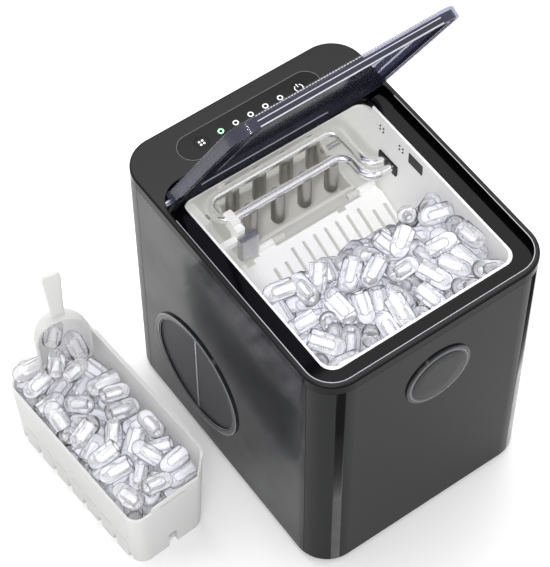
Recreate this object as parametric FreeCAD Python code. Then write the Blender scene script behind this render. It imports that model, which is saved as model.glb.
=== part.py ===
# Countertop ice maker with its lid open, and its ice basket and scoop standing at its left.
# Millimetres, +Z up, the front faces -Y. Each function below makes one named piece as closed solids.
import FreeCAD, Part
import math
import os

# ---------------------------------------------------------------- driving dimensions
WIDTH = 224.0                # casing, side to side
DEPTH = 282.0                # casing, front to back
HEIGHT = 285.0               # floor to the deck around the lid
CORNER = 30.0                # radius of the casing's upright corners
SKIN = 2.5                   # thickness of the casing's panels
FOOT_HEIGHT = 6.0
TOP_BAND = 10.0              # height of the top cover's outer band
SEAM = 0.4                   # gap between neighbouring panels

RECESS_HALF = 107.5          # the sunk area that the lid closes into
RECESS_FRONT = -136.0
RECESS_REAR = 92.0
RECESS_RADIUS = 24.0
LEDGE_Z = 277.0              # the flat ledge that carries the closed lid
TROUGH_Y = 73.0              # behind this the ledge drops, to let the lid's rear edge swing
TROUGH_Z = 272.0
MOUTH_HALF = 92.3            # the opening into the ice bin
MOUTH_FRONT = -121.0
MOUTH_REAR = 80.0
MOUTH_RADIUS = 12.0

LID_ANGLE = 62.5             # how far the lid stands open
LID_AXIS_Y = 80.0
LID_AXIS_Z = 281.0
LID_HALF = 103.6
LID_FRONT = 213.0            # hinge axis to the lid's front edge
LID_REAR = 5.5               # hinge axis to the lid's rear edge
LID_TOP = 6.5                # hinge axis to the lid's outer face
LID_BOTTOM = -3.6            # hinge axis to the skirt's lower edge
LID_RADIUS = 21.0
LID_SKIN = 2.4
PIN_RADIUS = 2.5
RUNNING = 0.06               # radial clearance of every pin in its bore

LINER_WALL = 2.5
BIN_HALF = 90.0
BIN_FRONT = -118.5
BIN_FLOOR = 112.0
SUMP_LEFT = -66.0
SUMP_REAR = 131.0
SUMP_FLOOR = 84.0

TUBE_RADIUS = 4.0
TUBE_Z = 228.0
TUBE_REAR_Y = 96.5
TUBE_FRONT_Y = 70.0
TUBE_LEFT = -58.0
FINGER_RADIUS = 6.0
FINGER_TIP_Z = 188.0
FINGER_PITCH = 27.5
FINGER_MIDDLE_X = 11.3

TRAY_AXIS_Y = 100.0
TRAY_AXIS_Z = 200.0
TRAY_LEFT = -44.0
TRAY_RIGHT = 68.0
PUSHER_AXIS_Y = 54.0
PUSHER_AXIS_Z = 190.0
PUSHER_SLOPE = 24.0
PUSHER_LEFT = -62.0
PUSHER_RIGHT = 88.0
PUSHER_LENGTH = 74.0

VENT_Y = 35.5
VENT_Z = 94.0
VENT_RADIUS = 60.0

BASKET_X = -199.4            # where the basket stands
BASKET_Y = 46.0
BASKET_TURN = 3.4
BASKET_HALF_WIDTH = 35.6
BASKET_HALF_LENGTH = 89.0
BASKET_SPREAD = 5.0          # how far each wall leans out in its 110 mm
BASKET_CORNER = 12.0
BASKET_LOW = 76.0
BASKET_END = 82.0            # height of the two short walls
BASKET_HIGH = 110.0
BASKET_WALL = 2.2

HALF_W = WIDTH / 2
HALF_D = DEPTH / 2
PANEL_TOP = HEIGHT - TOP_BAND - SEAM
PARTS = {}


# ---------------------------------------------------------------- shape helpers
def V(x, y, z):
    return FreeCAD.Vector(x, y, z)


def outline(x0, x1, y0, y1, z, radius):
    """A closed wire: a rectangle with rounded corners, level at z."""
    r = max(radius, 0.01)
    k = r * (1 - math.sqrt(0.5))
    spots = [
        (V(x0 + r, y0, z), V(x1 - r, y0, z), V(x1 - k, y0 + k, z), V(x1, y0 + r, z)),
        (V(x1, y0 + r, z), V(x1, y1 - r, z), V(x1 - k, y1 - k, z), V(x1 - r, y1, z)),
        (V(x1 - r, y1, z), V(x0 + r, y1, z), V(x0 + k, y1 - k, z), V(x0, y1 - r, z)),
        (V(x0, y1 - r, z), V(x0, y0 + r, z), V(x0 + k, y0 + k, z), V(x0 + r, y0, z)),
    ]
    edges = []
    for start, end, middle, after in spots:
        if start.distanceToPoint(end) > 1e-6:
            edges.append(Part.LineSegment(start, end).toShape())
        edges.append(Part.Arc(end, middle, after).toShape())
    return Part.Wire(edges)


def slab(x0, x1, y0, y1, z0, z1, radius=0.0):
    """A block with rounded upright corners."""
    if radius <= 0:
        return Part.makeBox(x1 - x0, y1 - y0, z1 - z0, V(x0, y0, z0))
    face = Part.Face(outline(x0, x1, y0, y1, z0, radius))
    return face.extrude(V(0, 0, z1 - z0))


def rod(x, y, z, radius, length, axis="z"):
    way = {"x": V(1, 0, 0), "y": V(0, 1, 0), "z": V(0, 0, 1)}[axis]
    return Part.makeCylinder(radius, length, V(x, y, z), way)


def joined(shapes):
    first = shapes[0]
    if len(shapes) > 1:
        first = first.fuse(shapes[1:])
    return first.removeSplitter()


def pipe(points, bend, radius):
    """A round bar along straight runs joined by tangent arcs."""
    edges = []
    here = points[0]
    for i in range(1, len(points) - 1):
        corner = points[i]
        back = (points[i - 1] - corner).normalize()
        ahead = (points[i + 1] - corner).normalize()
        half = back.getAngle(ahead) / 2
        reach = bend / math.tan(half)
        start = corner + back * reach
        end = corner + ahead * reach
        inward = (back + ahead).normalize()
        middle = corner + inward * (bend / math.sin(half) - bend)
        if here.distanceToPoint(start) > 1e-4:
            edges.append(Part.LineSegment(here, start).toShape())
        edges.append(Part.Arc(start, middle, end).toShape())
        here = end
    edges.append(Part.LineSegment(here, points[-1]).toShape())
    path = Part.Wire(edges)
    way = (points[1] - points[0]).normalize()
    ring = Part.Wire(Part.makeCircle(radius, points[0], way))
    return path.makePipeShell([ring], True, True)


def softened(shape, radius, chosen):
    """Rounds the edges that chosen(edge) picks, or leaves the shape if that fails."""
    edges = [e for e in shape.Edges if chosen(e)]
    try:
        rounded = shape.makeFillet(radius, edges)
        if rounded.isValid() and rounded.Volume > 0:
            return rounded
    except Exception:
        pass
    print("a rounding was left out", radius)
    return shape


def at_height(z):
    def chosen(edge):
        box = edge.BoundBox
        return abs(box.ZMin - z) < 1e-4 and abs(box.ZMax - z) < 1e-4
    return chosen


def keep(name, shape):
    PARTS[name] = shape


# ---------------------------------------------------------------- casing
def shell_ring(z0, z1):
    outer = slab(-HALF_W, HALF_W, -HALF_D, HALF_D, z0, z1, CORNER)
    inner = slab(-HALF_W + SKIN, HALF_W - SKIN, -HALF_D + SKIN, HALF_D - SKIN,
                 z0 - 1, z1 + 1, CORNER - SKIN)
    return outer.cut(inner)


def make_casing():
    ring = shell_ring(8.0, PANEL_TOP)
    seam_y = HALF_D - CORNER
    front_seam_y = seam_y + 7.0
    big = 400.0
    ahead = Part.makeBox(big, big, big, V(-200, -front_seam_y - big, 0))
    behind = Part.makeBox(big, big, big, V(-200, seam_y, 0))
    keep("front_panel", ring.common(ahead))

    cable_hole = rod(78, 130, 40, 6.2, 20, "y")
    drain_hole = rod(-60, 130, 30, 7.2, 20, "y")
    louvres = [Part.makeBox(88, 20, 3.2, V(-44, 130, 60 + 9 * i)) for i in range(9)]
    keep("rear_cover", ring.common(behind).cut(louvres + [cable_hole, drain_hole]))

    middle_length = seam_y + front_seam_y - 2 * SEAM
    left = ring.common(Part.makeBox(100, middle_length, big, V(-150, -front_seam_y + SEAM, 0)))
    vent_hole = rod(-120, VENT_Y, VENT_Z, VENT_RADIUS - 2.5, 20, "x")
    keep("left_side_panel", left.cut(vent_hole))

    right = ring.common(Part.makeBox(100, middle_length, big, V(50, -front_seam_y + SEAM, 0)))
    slots = [slab(100, 120, 34, 94, 34 + 9 * i, 37.4 + 9 * i) for i in range(10)]
    keep("right_side_panel", right.cut(slots))

    clear = 0.3
    pan_w = HALF_W - SKIN - clear
    pan_d = HALF_D - SKIN - clear
    pan_r = CORNER - SKIN - clear
    pan = slab(-pan_w, pan_w, -pan_d, pan_d, FOOT_HEIGHT, 24, pan_r)
    hollow = slab(-pan_w + 2, pan_w - 2, -pan_d + 2, pan_d - 2, FOOT_HEIGHT + 2.5, 25, pan_r - 2)
    drain_gap = rod(-60, 120, 30, 9.0, 30, "y")
    keep("base_pan", pan.cut([hollow, drain_gap]))

    feet = []
    for x in (-82, 82):
        for y in (-108, 108):
            foot = Part.makeCone(9.5, 11.0, FOOT_HEIGHT, V(x, y, 0))
            feet.append(foot)
    keep("rubber_feet", Part.makeCompound(feet))

    panel = PARTS["rear_cover"]
    # the countersinks are only as deep as the screw heads; the wall behind them stays
    sinks = [rod(x, HALF_D - 1.2, z, 3.2, 3, "y") for x in (-70, 70) for z in (20, 150, 255)]
    heads = [rod(x, HALF_D - 1.2, z, 3.0, 1.0, "y") for x in (-70, 70) for z in (20, 150, 255)]
    keep("rear_cover", panel.cut(sinks))
    keep("case_screws", Part.makeCompound(heads))


def make_top_cover():
    band = slab(-HALF_W, HALF_W, -HALF_D, HALF_D, HEIGHT - TOP_BAND, HEIGHT, CORNER)
    band = softened(band, 2.2, at_height(HEIGHT))
    lip = slab(-HALF_W + 2.8, HALF_W - 2.8, -HALF_D + 2.8, HALF_D - 2.8, 270, 276, CORNER - 2.8)
    trough_block = slab(-108.5, 108.5, 66.4, 94, 269.6, 276, 2)
    block = joined([band, lip, trough_block])
    under = slab(-HALF_W + 5, HALF_W - 5, -HALF_D + 5, 66.0, 268, 274, CORNER - 5)
    under_rear = slab(-HALF_W + 5, HALF_W - 5, 94.5, HALF_D - 5, 268, 281.6, 19)
    recess = slab(-RECESS_HALF, RECESS_HALF, RECESS_FRONT, RECESS_REAR, LEDGE_Z, 290, RECESS_RADIUS)
    trough = recess.common(slab(-120, 120, TROUGH_Y, 120, 260, 300))
    trough.translate(V(0, 0, TROUGH_Z - LEDGE_Z))
    mouth = slab(-MOUTH_HALF, MOUTH_HALF, MOUTH_FRONT, MOUTH_REAR, 260, 290, MOUTH_RADIUS)
    pin_bore = rod(-110.2, LID_AXIS_Y, LID_AXIS_Z, PIN_RADIUS + RUNNING, 220.4, "x")
    pill = slab(-68.75, 68.75, 98.75, 125.25, 283.6, 290, 13.2)
    wells = [rod(x, 111.5, 280, 7.0, 6) for x in (-47.6, 48.9)]
    cover = block.cut([under, under_rear, recess, trough, mouth, pin_bore, pill] + wells)
    cover = softened(cover, 0.8, rim_edge)
    keep("top_cover", cover)


def rim_edge(edge):
    """The inner top edge of the outer band, which carries the bright line round the lid."""
    box = edge.BoundBox
    level = abs(box.ZMin - HEIGHT) < 1e-4 and abs(box.ZMax - HEIGHT) < 1e-4
    inside = max(abs(box.XMin), abs(box.XMax)) < RECESS_HALF + 0.1
    ahead = box.YMin > RECESS_FRONT - 0.1 and box.YMax < RECESS_REAR + 0.1
    return level and inside and ahead


def make_controls():
    panel = slab(-68.5, 68.5, 99, 125, 283.6, 285.3, 12.99)
    panel = softened(panel, 0.5, at_height(285.3))
    button_holes = [rod(x, 111.5, 280, 6.3, 10) for x in (-47.6, 48.9)]
    keep("control_panel", panel.cut(button_holes))
    for name, x in (("mode_button", -47.6), ("power_button", 48.9)):
        cap = rod(x, 111.5, 283.9, 6.0, 1.4)
        stem = rod(x, 111.5, 281.9, 2.0, 2.1)
        keep(name, joined([cap, stem]))
    rings = []
    for i in range(5):
        x = -28.5 + 14.7 * i
        ring = rod(x, 112, 285.3, 2.7, 0.35).cut(rod(x, 112, 285.2, 1.6, 1))
        rings.append(ring)
    keep("led_rings", Part.makeCompound(rings))
    board = slab(-72, 72, 97, 128, 276.0, 277.6, 2)
    chips = [slab(-30, -14, 104, 116, 277.6, 279.2), slab(12, 30, 102, 114, 277.6, 279.8)]
    keep("display_board", joined([board] + chips))


def make_outside_trim():
    badge = rod(0, -HALF_D - 2.0, 219, 31.5, 2.0, "y")
    badge = softened(badge, 1.2, lambda e: abs(e.BoundBox.YMin + HALF_D + 2.0) < 1e-4
                     and abs(e.BoundBox.YMax + HALF_D + 2.0) < 1e-4)
    keep("front_badge", badge)

    x_out = -HALF_W - 1.6
    ring = rod(x_out, VENT_Y, VENT_Z, VENT_RADIUS, 1.6, "x")
    collar = rod(-HALF_W, VENT_Y, VENT_Z, VENT_RADIUS - 2.8, 3.6, "x")
    bore = rod(x_out - 1, VENT_Y, VENT_Z, VENT_RADIUS - 5.2, 8, "x")
    keep("side_vent_ring", joined([ring, collar]).cut(bore))
    disc = rod(-HALF_W + 0.2, VENT_Y, VENT_Z, VENT_RADIUS - 5.4, 1.6, "x")
    cuts = []
    for i in range(12):
        z = VENT_Z - 44 + 8 * i
        half = math.sqrt(max((VENT_RADIUS - 9) ** 2 - (z - VENT_Z) ** 2, 25))
        cuts.append(Part.makeBox(6, half - 3, 4.6, V(-HALF_W - 2, VENT_Y - half, z - 2.3)))
        cuts.append(Part.makeBox(6, half - 3, 4.6, V(-HALF_W - 2, VENT_Y + 3, z - 2.3)))
    keep("side_vent_grille", disc.cut(cuts))


# ---------------------------------------------------------------- lid
def lid_slab(grow, z0, z1, radius):
    y_front = LID_AXIS_Y - LID_FRONT
    y_rear = LID_AXIS_Y + LID_REAR
    return slab(-LID_HALF - grow, LID_HALF + grow, y_front - grow, y_rear + grow,
                LID_AXIS_Z + z0, LID_AXIS_Z + z1, radius + grow)


def opened(shape):
    copy = shape.copy()
    copy.rotate(V(0, LID_AXIS_Y, LID_AXIS_Z), V(-1, 0, 0), LID_ANGLE)
    return copy


def make_lid():
    body = lid_slab(0, LID_BOTTOM, LID_TOP, LID_RADIUS)
    body = softened(body, 1.6, at_height(LID_AXIS_Z + LID_TOP))
    hollow = lid_slab(-LID_SKIN, LID_BOTTOM - 1, LID_TOP - 2.6, LID_RADIUS)
    pin_room = rod(-130, LID_AXIS_Y, LID_AXIS_Z, PIN_RADIUS + 0.02, 260, "x")
    keep("lid_shell", opened(body.cut([hollow, pin_room])))

    z1 = LID_TOP - 2.7
    rim = lid_slab(-LID_SKIN - 0.1, LID_BOTTOM + 0.6, z1, LID_RADIUS)
    well = lid_slab(-LID_SKIN - 7.5, LID_BOTTOM - 1, z1 + 1, LID_RADIUS)
    groove = lid_slab(-LID_SKIN - 2.0, LID_BOTTOM - 1, z1 - 3.4, LID_RADIUS)
    groove_core = lid_slab(-LID_SKIN - 5.4, LID_BOTTOM - 2, z1 - 3.0, LID_RADIUS)
    frame = rim.cut([well, groove.cut(groove_core)])
    ribs = []
    for x in (-66, 66):
        ribs.append(slab(x - 1.6, x + 1.6, LID_AXIS_Y - LID_FRONT + 12, LID_AXIS_Y - 8,
                         LID_AXIS_Z - 0.5, LID_AXIS_Z + z1))
    bridge = slab(-90, 90, LID_AXIS_Y - 14, LID_AXIS_Y - 3.4, LID_AXIS_Z - 0.5, LID_AXIS_Z + z1, 2)
    inside = lid_slab(-LID_SKIN - 0.2, LID_BOTTOM, z1, LID_RADIUS)
    extra = joined(ribs + [bridge]).common(inside)
    keep("lid_inner_frame", opened(joined([frame, extra]).cut(pin_room)))

    catch = slab(-13, 13, LID_AXIS_Y - LID_FRONT + 14, LID_AXIS_Y - LID_FRONT + 22,
                 LID_AXIS_Z - 1.5, LID_AXIS_Z + z1, 2)
    keep("lid_magnet_holder", opened(catch))

    pins = [rod(-109.6, LID_AXIS_Y, LID_AXIS_Z, PIN_RADIUS, 14, "x"),
            rod(95.6, LID_AXIS_Y, LID_AXIS_Z, PIN_RADIUS, 14, "x")]
    keep("lid_hinge_pins", Part.makeCompound(pins))


# ---------------------------------------------------------------- cold chamber
def cavities(grow):
    g = grow
    ice_bin = slab(-BIN_HALF - g, BIN_HALF + g, BIN_FRONT - g, -20 + g, BIN_FLOOR - g, 272, 12 + g)
    chamber = slab(-BIN_HALF - g, BIN_HALF + g, BIN_FRONT - g, 112 + g, 152 - g, 266 + g, 12 + g)
    sump = slab(SUMP_LEFT - g, BIN_HALF + g, -34 - g, SUMP_REAR + g, SUMP_FLOOR - g, 196, 10 + g)
    back_step = slab(SUMP_LEFT - g, BIN_HALF + g, 60, SUMP_REAR + g, 150, 204 + g, 10 + g)
    return [ice_bin, chamber, sump, back_step]


def make_liner():
    neck = slab(-MOUTH_HALF + 0.3, MOUTH_HALF - 0.3, MOUTH_FRONT + 0.3, MOUTH_REAR + 4,
                262, 276.2, MOUTH_RADIUS)
    neck = neck.cut(Part.makeBox(300, 60, 30, V(-150, 66.2, 269.3)))
    outer = joined(cavities(LINER_WALL) + [neck])
    throat = slab(-BIN_HALF, BIN_HALF, BIN_FRONT, MOUTH_REAR + 1.6, 260, 290, 12)
    body = outer.cut(cavities(0.0) + [throat])
    boss = rod(84, TRAY_AXIS_Y, TRAY_AXIS_Z, 6, 8, "x")
    body = joined([body, boss])
    bore = rod(80, TRAY_AXIS_Y, TRAY_AXIS_Z, PIN_RADIUS + RUNNING, 9, "x")
    slot = slab(86, 96, 29, 53, TUBE_Z - 6, TUBE_Z + 6)
    shelf = slab(86, 96, -2, 16, 256, 268)
    hose_hole = rod(-30, 105, 212, 3.7, 20, "y")
    drain = rod(-50, 100, 78, 4.2, 10)
    keep("inner_liner", body.cut([bore, slot, shelf, hose_hole, drain]))

    grommet = slab(88.2, 94.4, 29.3, 52.7, TUBE_Z - 5.7, TUBE_Z + 5.7)
    holes = [rod(80, y, TUBE_Z, TUBE_RADIUS + 0.05, 30, "x") for y in (36, 46)]
    keep("tube_grommet", grommet.cut(holes))

    cover = slab(89.4, 92.2, -1.7, 15.7, 256.3, 267.7)
    keep("sensor_window", cover)

    dots = []
    for y, z in ((52, 262), (26, 262)):
        for dy in (-2.2, 2.2):
            for dz in (-2.2, 2.2):
                dots.append(rod(BIN_HALF - 0.7, y + dy, z + dz, 0.8, 0.7, "x"))
    for y in (12, -24):
        for dy in (-2.2, 2.2):
            dots.append(rod(-BIN_HALF, y + dy, 266, 0.8, 0.7, "x"))
    keep("sensor_lenses", Part.makeCompound(dots))

    jacket = slab(-104, 104, -133, -26, 96, 262, 18)
    hole = joined(cavities(LINER_WALL + 0.4))
    keep("foam_insulation", jacket.cut([hole, slab(-92, 92, -125, 0, 90, 300, 10)]))

    floor = slab(-BIN_HALF + 1, BIN_HALF - 1, BIN_FRONT + 1, -37, BIN_FLOOR + 0.05, BIN_FLOOR + 2.2, 10)
    holes = []
    for i in range(9):
        for j in range(4):
            holes.append(slab(-76 + 18 * i, -68 + 18 * i, -110 + 18 * j, -106 + 18 * j, 100, 130, 1.9))
    keep("bin_drain_grid", floor.cut(holes))


def make_evaporator():
    z = TUBE_Z
    route = [V(104, 46, z), V(75, 46, z), V(75, TUBE_REAR_Y, z), V(TUBE_LEFT, TUBE_REAR_Y, z),
             V(TUBE_LEFT, TUBE_FRONT_Y, z), V(66, TUBE_FRONT_Y, z), V(66, 36, z), V(104, 36, z)]
    tube = evaporator_route(route)
    keep("evaporator_tube", tube)
    fingers = []
    for i in range(4):
        x = FINGER_MIDDLE_X + FINGER_PITCH * (i - 1.5)
        for y in (TUBE_REAR_Y, TUBE_FRONT_Y):
            low = FINGER_TIP_Z + FINGER_RADIUS
            stem = rod(x, y, low, FINGER_RADIUS, z - low)
            tip = Part.makeSphere(FINGER_RADIUS, V(x, y, low))
            fingers.append(joined([stem, tip]).cut(tube))
    keep("freezing_fingers", Part.makeCompound(fingers))

    arm = slab(-89.8, -46, 54, 60, 214, 219.5)
    cheek = slab(-54, -46, 54, 65.0, 214, 231, 1.5)
    foot_plate = slab(-89.8, -86.5, 42, 66, 206, 230)
    saddle = slab(-54, -46, 60, 75.5, 221.5, 233.6, 1.5)
    keep("evaporator_bracket", joined([arm, cheek, foot_plate, saddle]).cut(tube))
    guard = slab(-56, -38, 46, 53.4, 200, 226, 2.4)
    keep("splash_guard", guard)
    spout = rod(-30, 104, 212, 3.6, 14, "y").cut(rod(-30, 100, 212, 2.2, 30, "y"))
    keep("fill_spout", spout)


def evaporator_route(points):
    return pipe(points, 12.0, TUBE_RADIUS)


def make_tray():
    x0, x1 = TRAY_LEFT, TRAY_RIGHT
    profile = side_profile(57.5, 108.0, 171.0, 195.0, 9.0)
    trough = profile.extrude(V(x1 - x0, 0, 0))
    trough.translate(V(x0, 0, 0))
    inner_profile = side_profile(59.5, 106.0, 173.0, 200.0, 7.0)
    hollow = inner_profile.extrude(V(x1 - x0 - 4, 0, 0))
    hollow.translate(V(x0 + 2, 0, 0))
    ears = []
    for x in (x0, x1 - 3):
        ears.append(rod(x, TRAY_AXIS_Y, TRAY_AXIS_Z, 6.5, 3, "x"))
        ears.append(slab(x, x + 3, TRAY_AXIS_Y - 6.5, TRAY_AXIS_Y + 6.5, 190, TRAY_AXIS_Z))
    barrels = []
    for a, b in ((-18, -8), (58, 68)):
        barrel = rod(a, PUSHER_AXIS_Y, PUSHER_AXIS_Z, 3.2, b - a, "x")
        web = slab(a, b, PUSHER_AXIS_Y, 58.5, PUSHER_AXIS_Z - 3.2, PUSHER_AXIS_Z + 1.0)
        barrels.append(barrel)
        barrels.append(web)
    rim = slab(x0, x1, 56.3, 58.2, 193.4, 195.0)
    body = joined([trough.cut(hollow)] + ears + barrels + [rim])
    shaft_holes = rod(x0 - 5, TRAY_AXIS_Y, TRAY_AXIS_Z, PIN_RADIUS, x1 - x0 + 10, "x")
    pin_holes = rod(-19, PUSHER_AXIS_Y, PUSHER_AXIS_Z, 1.5, 90, "x")
    keep("water_tray", body.cut([shaft_holes, pin_holes]))
    shafts = [rod(-66, TRAY_AXIS_Y, TRAY_AXIS_Z, PIN_RADIUS, 25, "x"),
              rod(65, TRAY_AXIS_Y, TRAY_AXIS_Z, PIN_RADIUS, 23.6, "x")]
    keep("tray_shafts", Part.makeCompound(shafts))

    box = slab(-86, -60, 84, 110, 184, 216, 3)
    box = joined([box, slab(-76, -64, 108, 111.9, 206.6, 214)])
    box = box.cut(rod(-67, TRAY_AXIS_Y, TRAY_AXIS_Z, PIN_RADIUS + RUNNING, 10, "x"))
    keep("tray_motor", box)

    pins = [rod(-35.5, PUSHER_AXIS_Y, PUSHER_AXIS_Z, 1.5, 27.5, "x"),
            rod(58, PUSHER_AXIS_Y, PUSHER_AXIS_Z, 1.5, 27.5, "x")]
    keep("pusher_pins", Part.makeCompound(pins))


def side_profile(y0, y1, z0, z1, radius):
    """A U-shaped face in the YZ plane, round at its two lower corners."""
    r = radius
    k = r * (1 - math.sqrt(0.5))
    edges = [
        Part.LineSegment(V(0, y0, z1), V(0, y0, z0 + r)).toShape(),
        Part.Arc(V(0, y0, z0 + r), V(0, y0 + k, z0 + k), V(0, y0 + r, z0)).toShape(),
        Part.LineSegment(V(0, y0 + r, z0), V(0, y1 - r, z0)).toShape(),
        Part.Arc(V(0, y1 - r, z0), V(0, y1 - k, z0 + k), V(0, y1, z0 + r)).toShape(),
        Part.LineSegment(V(0, y1, z0 + r), V(0, y1, z1)).toShape(),
        Part.LineSegment(V(0, y1, z1), V(0, y0, z1)).toShape(),
    ]
    return Part.Face(Part.Wire(edges))


def make_pusher():
    """The slotted plate is drawn level behind its hinge, then tipped down to its slope."""
    yc, zc = PUSHER_AXIS_Y, PUSHER_AXIS_Z
    plate = slab(PUSHER_LEFT, PUSHER_RIGHT, yc - PUSHER_LENGTH, yc - 5.0, zc - 2.6, zc, 6)
    slots = []
    for i in range(11):
        x = 26.6 + 11.4 * (i - 5)
        outer = i < 2 or i > 8
        head = yc - (19.5 if outer else 12.0)
        tail = head - (22 if outer else 34)
        slots.append(slab(x - 1.6, x + 1.6, tail, head, zc - 5, zc + 5, 1.59))
    notches = [slab(-50, -42, yc - 9, yc, zc - 5, zc + 5), slab(44, 52, yc - 8, yc, zc - 5, zc + 5)]
    lugs = []
    for a, b in ((-35.5, -19), (69, 85.5)):
        lugs.append(rod(a, yc, zc, 3.2, b - a, "x"))
        lugs.append(slab(a, b, yc - 7, yc, zc - 2.6, zc + 1.0))
    lip = slab(PUSHER_LEFT + 6, PUSHER_RIGHT - 6, yc - PUSHER_LENGTH, yc - PUSHER_LENGTH + 2.2,
               zc - 6, zc - 2.4)
    flange = slab(PUSHER_LEFT, PUSHER_LEFT + 2.2, yc - PUSHER_LENGTH + 6, yc - 11, zc - 5, zc + 3.0)
    body = joined([plate, lip, flange] + lugs).cut(slots + notches)
    bore = rod(-40, yc, zc, 1.5 + RUNNING, 130, "x")
    body = body.cut(bore)
    body.rotate(V(0, yc, zc), V(1, 0, 0), PUSHER_SLOPE)
    keep("ice_pusher", body)


# ---------------------------------------------------------------- cooling and water works
def make_machinery():
    pot = rod(36, -74, 20, 40, 61)
    dome = Part.makeSphere(56, V(36, -74, 40)).common(rod(36, -74, 81, 36, 40))
    body = joined([pot, dome])
    plate = slab(-8, 80, -118, -30, 15.6, 19.0, 12)
    keep("compressor", joined([body, slab(20, 52, -90, -58, 18.9, 21), plate]))
    mounts = []
    for x, y in ((2, -108), (70, -108), (2, -40), (70, -40)):
        mounts.append(Part.makeCone(8, 6.5, 7.0, V(x, y, 8.55)))
    keep("compressor_mounts", Part.makeCompound(mounts))
    keep("relay_cover", slab(-26, -4.3, -90, -60, 44, 74, 4))

    fins = []
    for i in range(22):
        y = -13.5 + 4.8 * i
        fins.append(slab(-105, -91, y, y + 0.8, 36, 138))
    tubes = []
    for i in range(6):
        tubes.append(rod(-98, -16, 45 + 17 * i, 2.6, 108, "y"))
    coil = Part.makeCompound(tubes)
    keep("condenser_fins", Part.makeCompound([f.cut(tubes) for f in fins]))
    caps = []
    for i in range(5):
        y = 92.0 if i % 2 == 0 else -16.0
        turn = 1 if i % 2 == 0 else -1
        z = 45 + 17 * i
        ring = [V(-98, y, z), V(-98, y + 10 * turn, z), V(-98, y + 10 * turn, z + 17), V(-98, y, z + 17)]
        caps.append(pipe(ring, 8.4, 2.6))
    keep("condenser_coil", joined(tubes + caps))

    frame = slab(-88, -72, VENT_Y - 52, VENT_Y + 52, VENT_Z - 52, VENT_Z + 52)
    duct = rod(-90, VENT_Y, VENT_Z, 47, 15.0, "x")
    ports = rod(-90, VENT_Y, VENT_Z, 47, 20, "x").cut(rod(-90, VENT_Y, VENT_Z, 17, 20, "x"))
    arms = [slab(-75.4, -72, VENT_Y - 50, VENT_Y + 50, VENT_Z - 3, VENT_Z + 3),
            slab(-75.4, -72, VENT_Y - 3, VENT_Y + 3, VENT_Z - 50, VENT_Z + 50)]
    web = joined(arms).cut(rod(-90, VENT_Y, VENT_Z, 16.6, 30, "x"))
    keep("fan_shroud", joined([frame.cut([duct, ports, rod(-80, VENT_Y, VENT_Z, 18, 12, "x")]), web]))
    stator = rod(-75.4, VENT_Y, VENT_Z, 16.5, 4.4, "x")
    keep("fan_motor", stator.cut(rod(-76, VENT_Y, VENT_Z, 1.5 + RUNNING, 3.4, "x")))
    hub = rod(-87, VENT_Y, VENT_Z, 17, 10.6, "x")
    axle = rod(-78, VENT_Y, VENT_Z, 1.5, 5.0, "x")
    blades = []
    for i in range(7):
        blade = slab(-82.8, -81.2, -9, 9, 15, 43.5, 0)
        blade.rotate(V(-82, 0, 0), V(0, 0, 1), 26)
        blade.rotate(V(0, 0, 0), V(1, 0, 0), 360 / 7 * i)
        blade.translate(V(0, VENT_Y, VENT_Z))
        blades.append(blade)
    keep("fan_rotor", joined([hub, axle] + blades))

    discharge = [V(36, -33.9, 76), V(36, -20, 76), V(-40, -20, 60), V(-70, -20, 40), V(-98, -24, 34)]
    line = pipe(discharge, 9.0, 2.5)
    keep("discharge_pipe", line)
    keep("filter_drier", rod(-20, 20, 50, 8, 70, "y"))
    suction = [V(98, 46, 223.9), V(98, 46, 120), V(98, -20, 60), V(88, -60, 52), V(79, -74, 52)]
    keep("suction_pipe", pipe(suction, 11.0, 2.8))
    valve_body = joined([slab(40, 58, 20, 38, 40, 62, 2), rod(49, 29, 60, 7, 18)])
    keep("hot_gas_valve", valve_body)

    pump = joined([slab(-6, 34, 86, 122, 26, 58, 4), rod(14, 104, 56, 9, 14)])
    keep("water_pump", pump)
    hose = [V(14, 122.1, 44), V(14, 131, 44), V(-30, 131, 46), V(-76, 126, 64), V(-76, 124, 212),
            V(-30, 124, 212), V(-30, 118.2, 212)]
    keep("water_hose", pipe(hose, 5.5, 2.9))
    keep("pump_bracket", slab(-12, 40, 82, 126, 8.55, 25.6, 3))
    float_body = rod(30, 40, SUMP_FLOOR + 3, 8, 14)
    stem = rod(30, 40, SUMP_FLOOR + 0.05, 2.2, 34)
    keep("level_float", joined([float_body, stem]))

    drain = [V(-50, 100, 81), V(-50, 100, 30), V(-60, 112, 30), V(-60, 132.5, 30)]
    keep("drain_hose", pipe(drain, 5.0, 4.0))
    socket = rod(-60, 132.6, 30, 7.0, 8.4, "y").cut(rod(-60, 132, 30, 5.0, 12, "y"))
    keep("drain_socket", socket)
    cap = joined([rod(-60, HALF_D + 0.3, 30, 8.0, 2.4, "y"), rod(-60, 134.6, 30, 4.6, 7, "y")])
    keep("drain_plug", cap)

    gland = joined([rod(78, HALF_D - 6, 40, 6.0, 8, "y"), rod(78, HALF_D, 40, 8.0, 3, "y")])
    gland = gland.cut(rod(78, 120, 40, 3.4, 40, "y"))
    keep("cable_gland", gland)

    board = slab(-18, 82, 134.4, 136.0, 206, 262)
    parts = [slab(-12, 10, 123, 134.5, 214, 236), slab(20, 40, 126, 134.5, 210, 226),
             rod(60, 122, 240, 7, 12.5, "y"), slab(48, 74, 128, 134.5, 212, 222)]
    keep("control_board", joined([board] + parts))


# ---------------------------------------------------------------- basket and scoop
def basket_layer(z, inset):
    spread = BASKET_SPREAD * z / 110.0
    w = BASKET_HALF_WIDTH + spread - inset
    l = BASKET_HALF_LENGTH + 0.4 * spread - inset
    return outline(-w, w, -l, l, z, BASKET_CORNER - inset)


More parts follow.
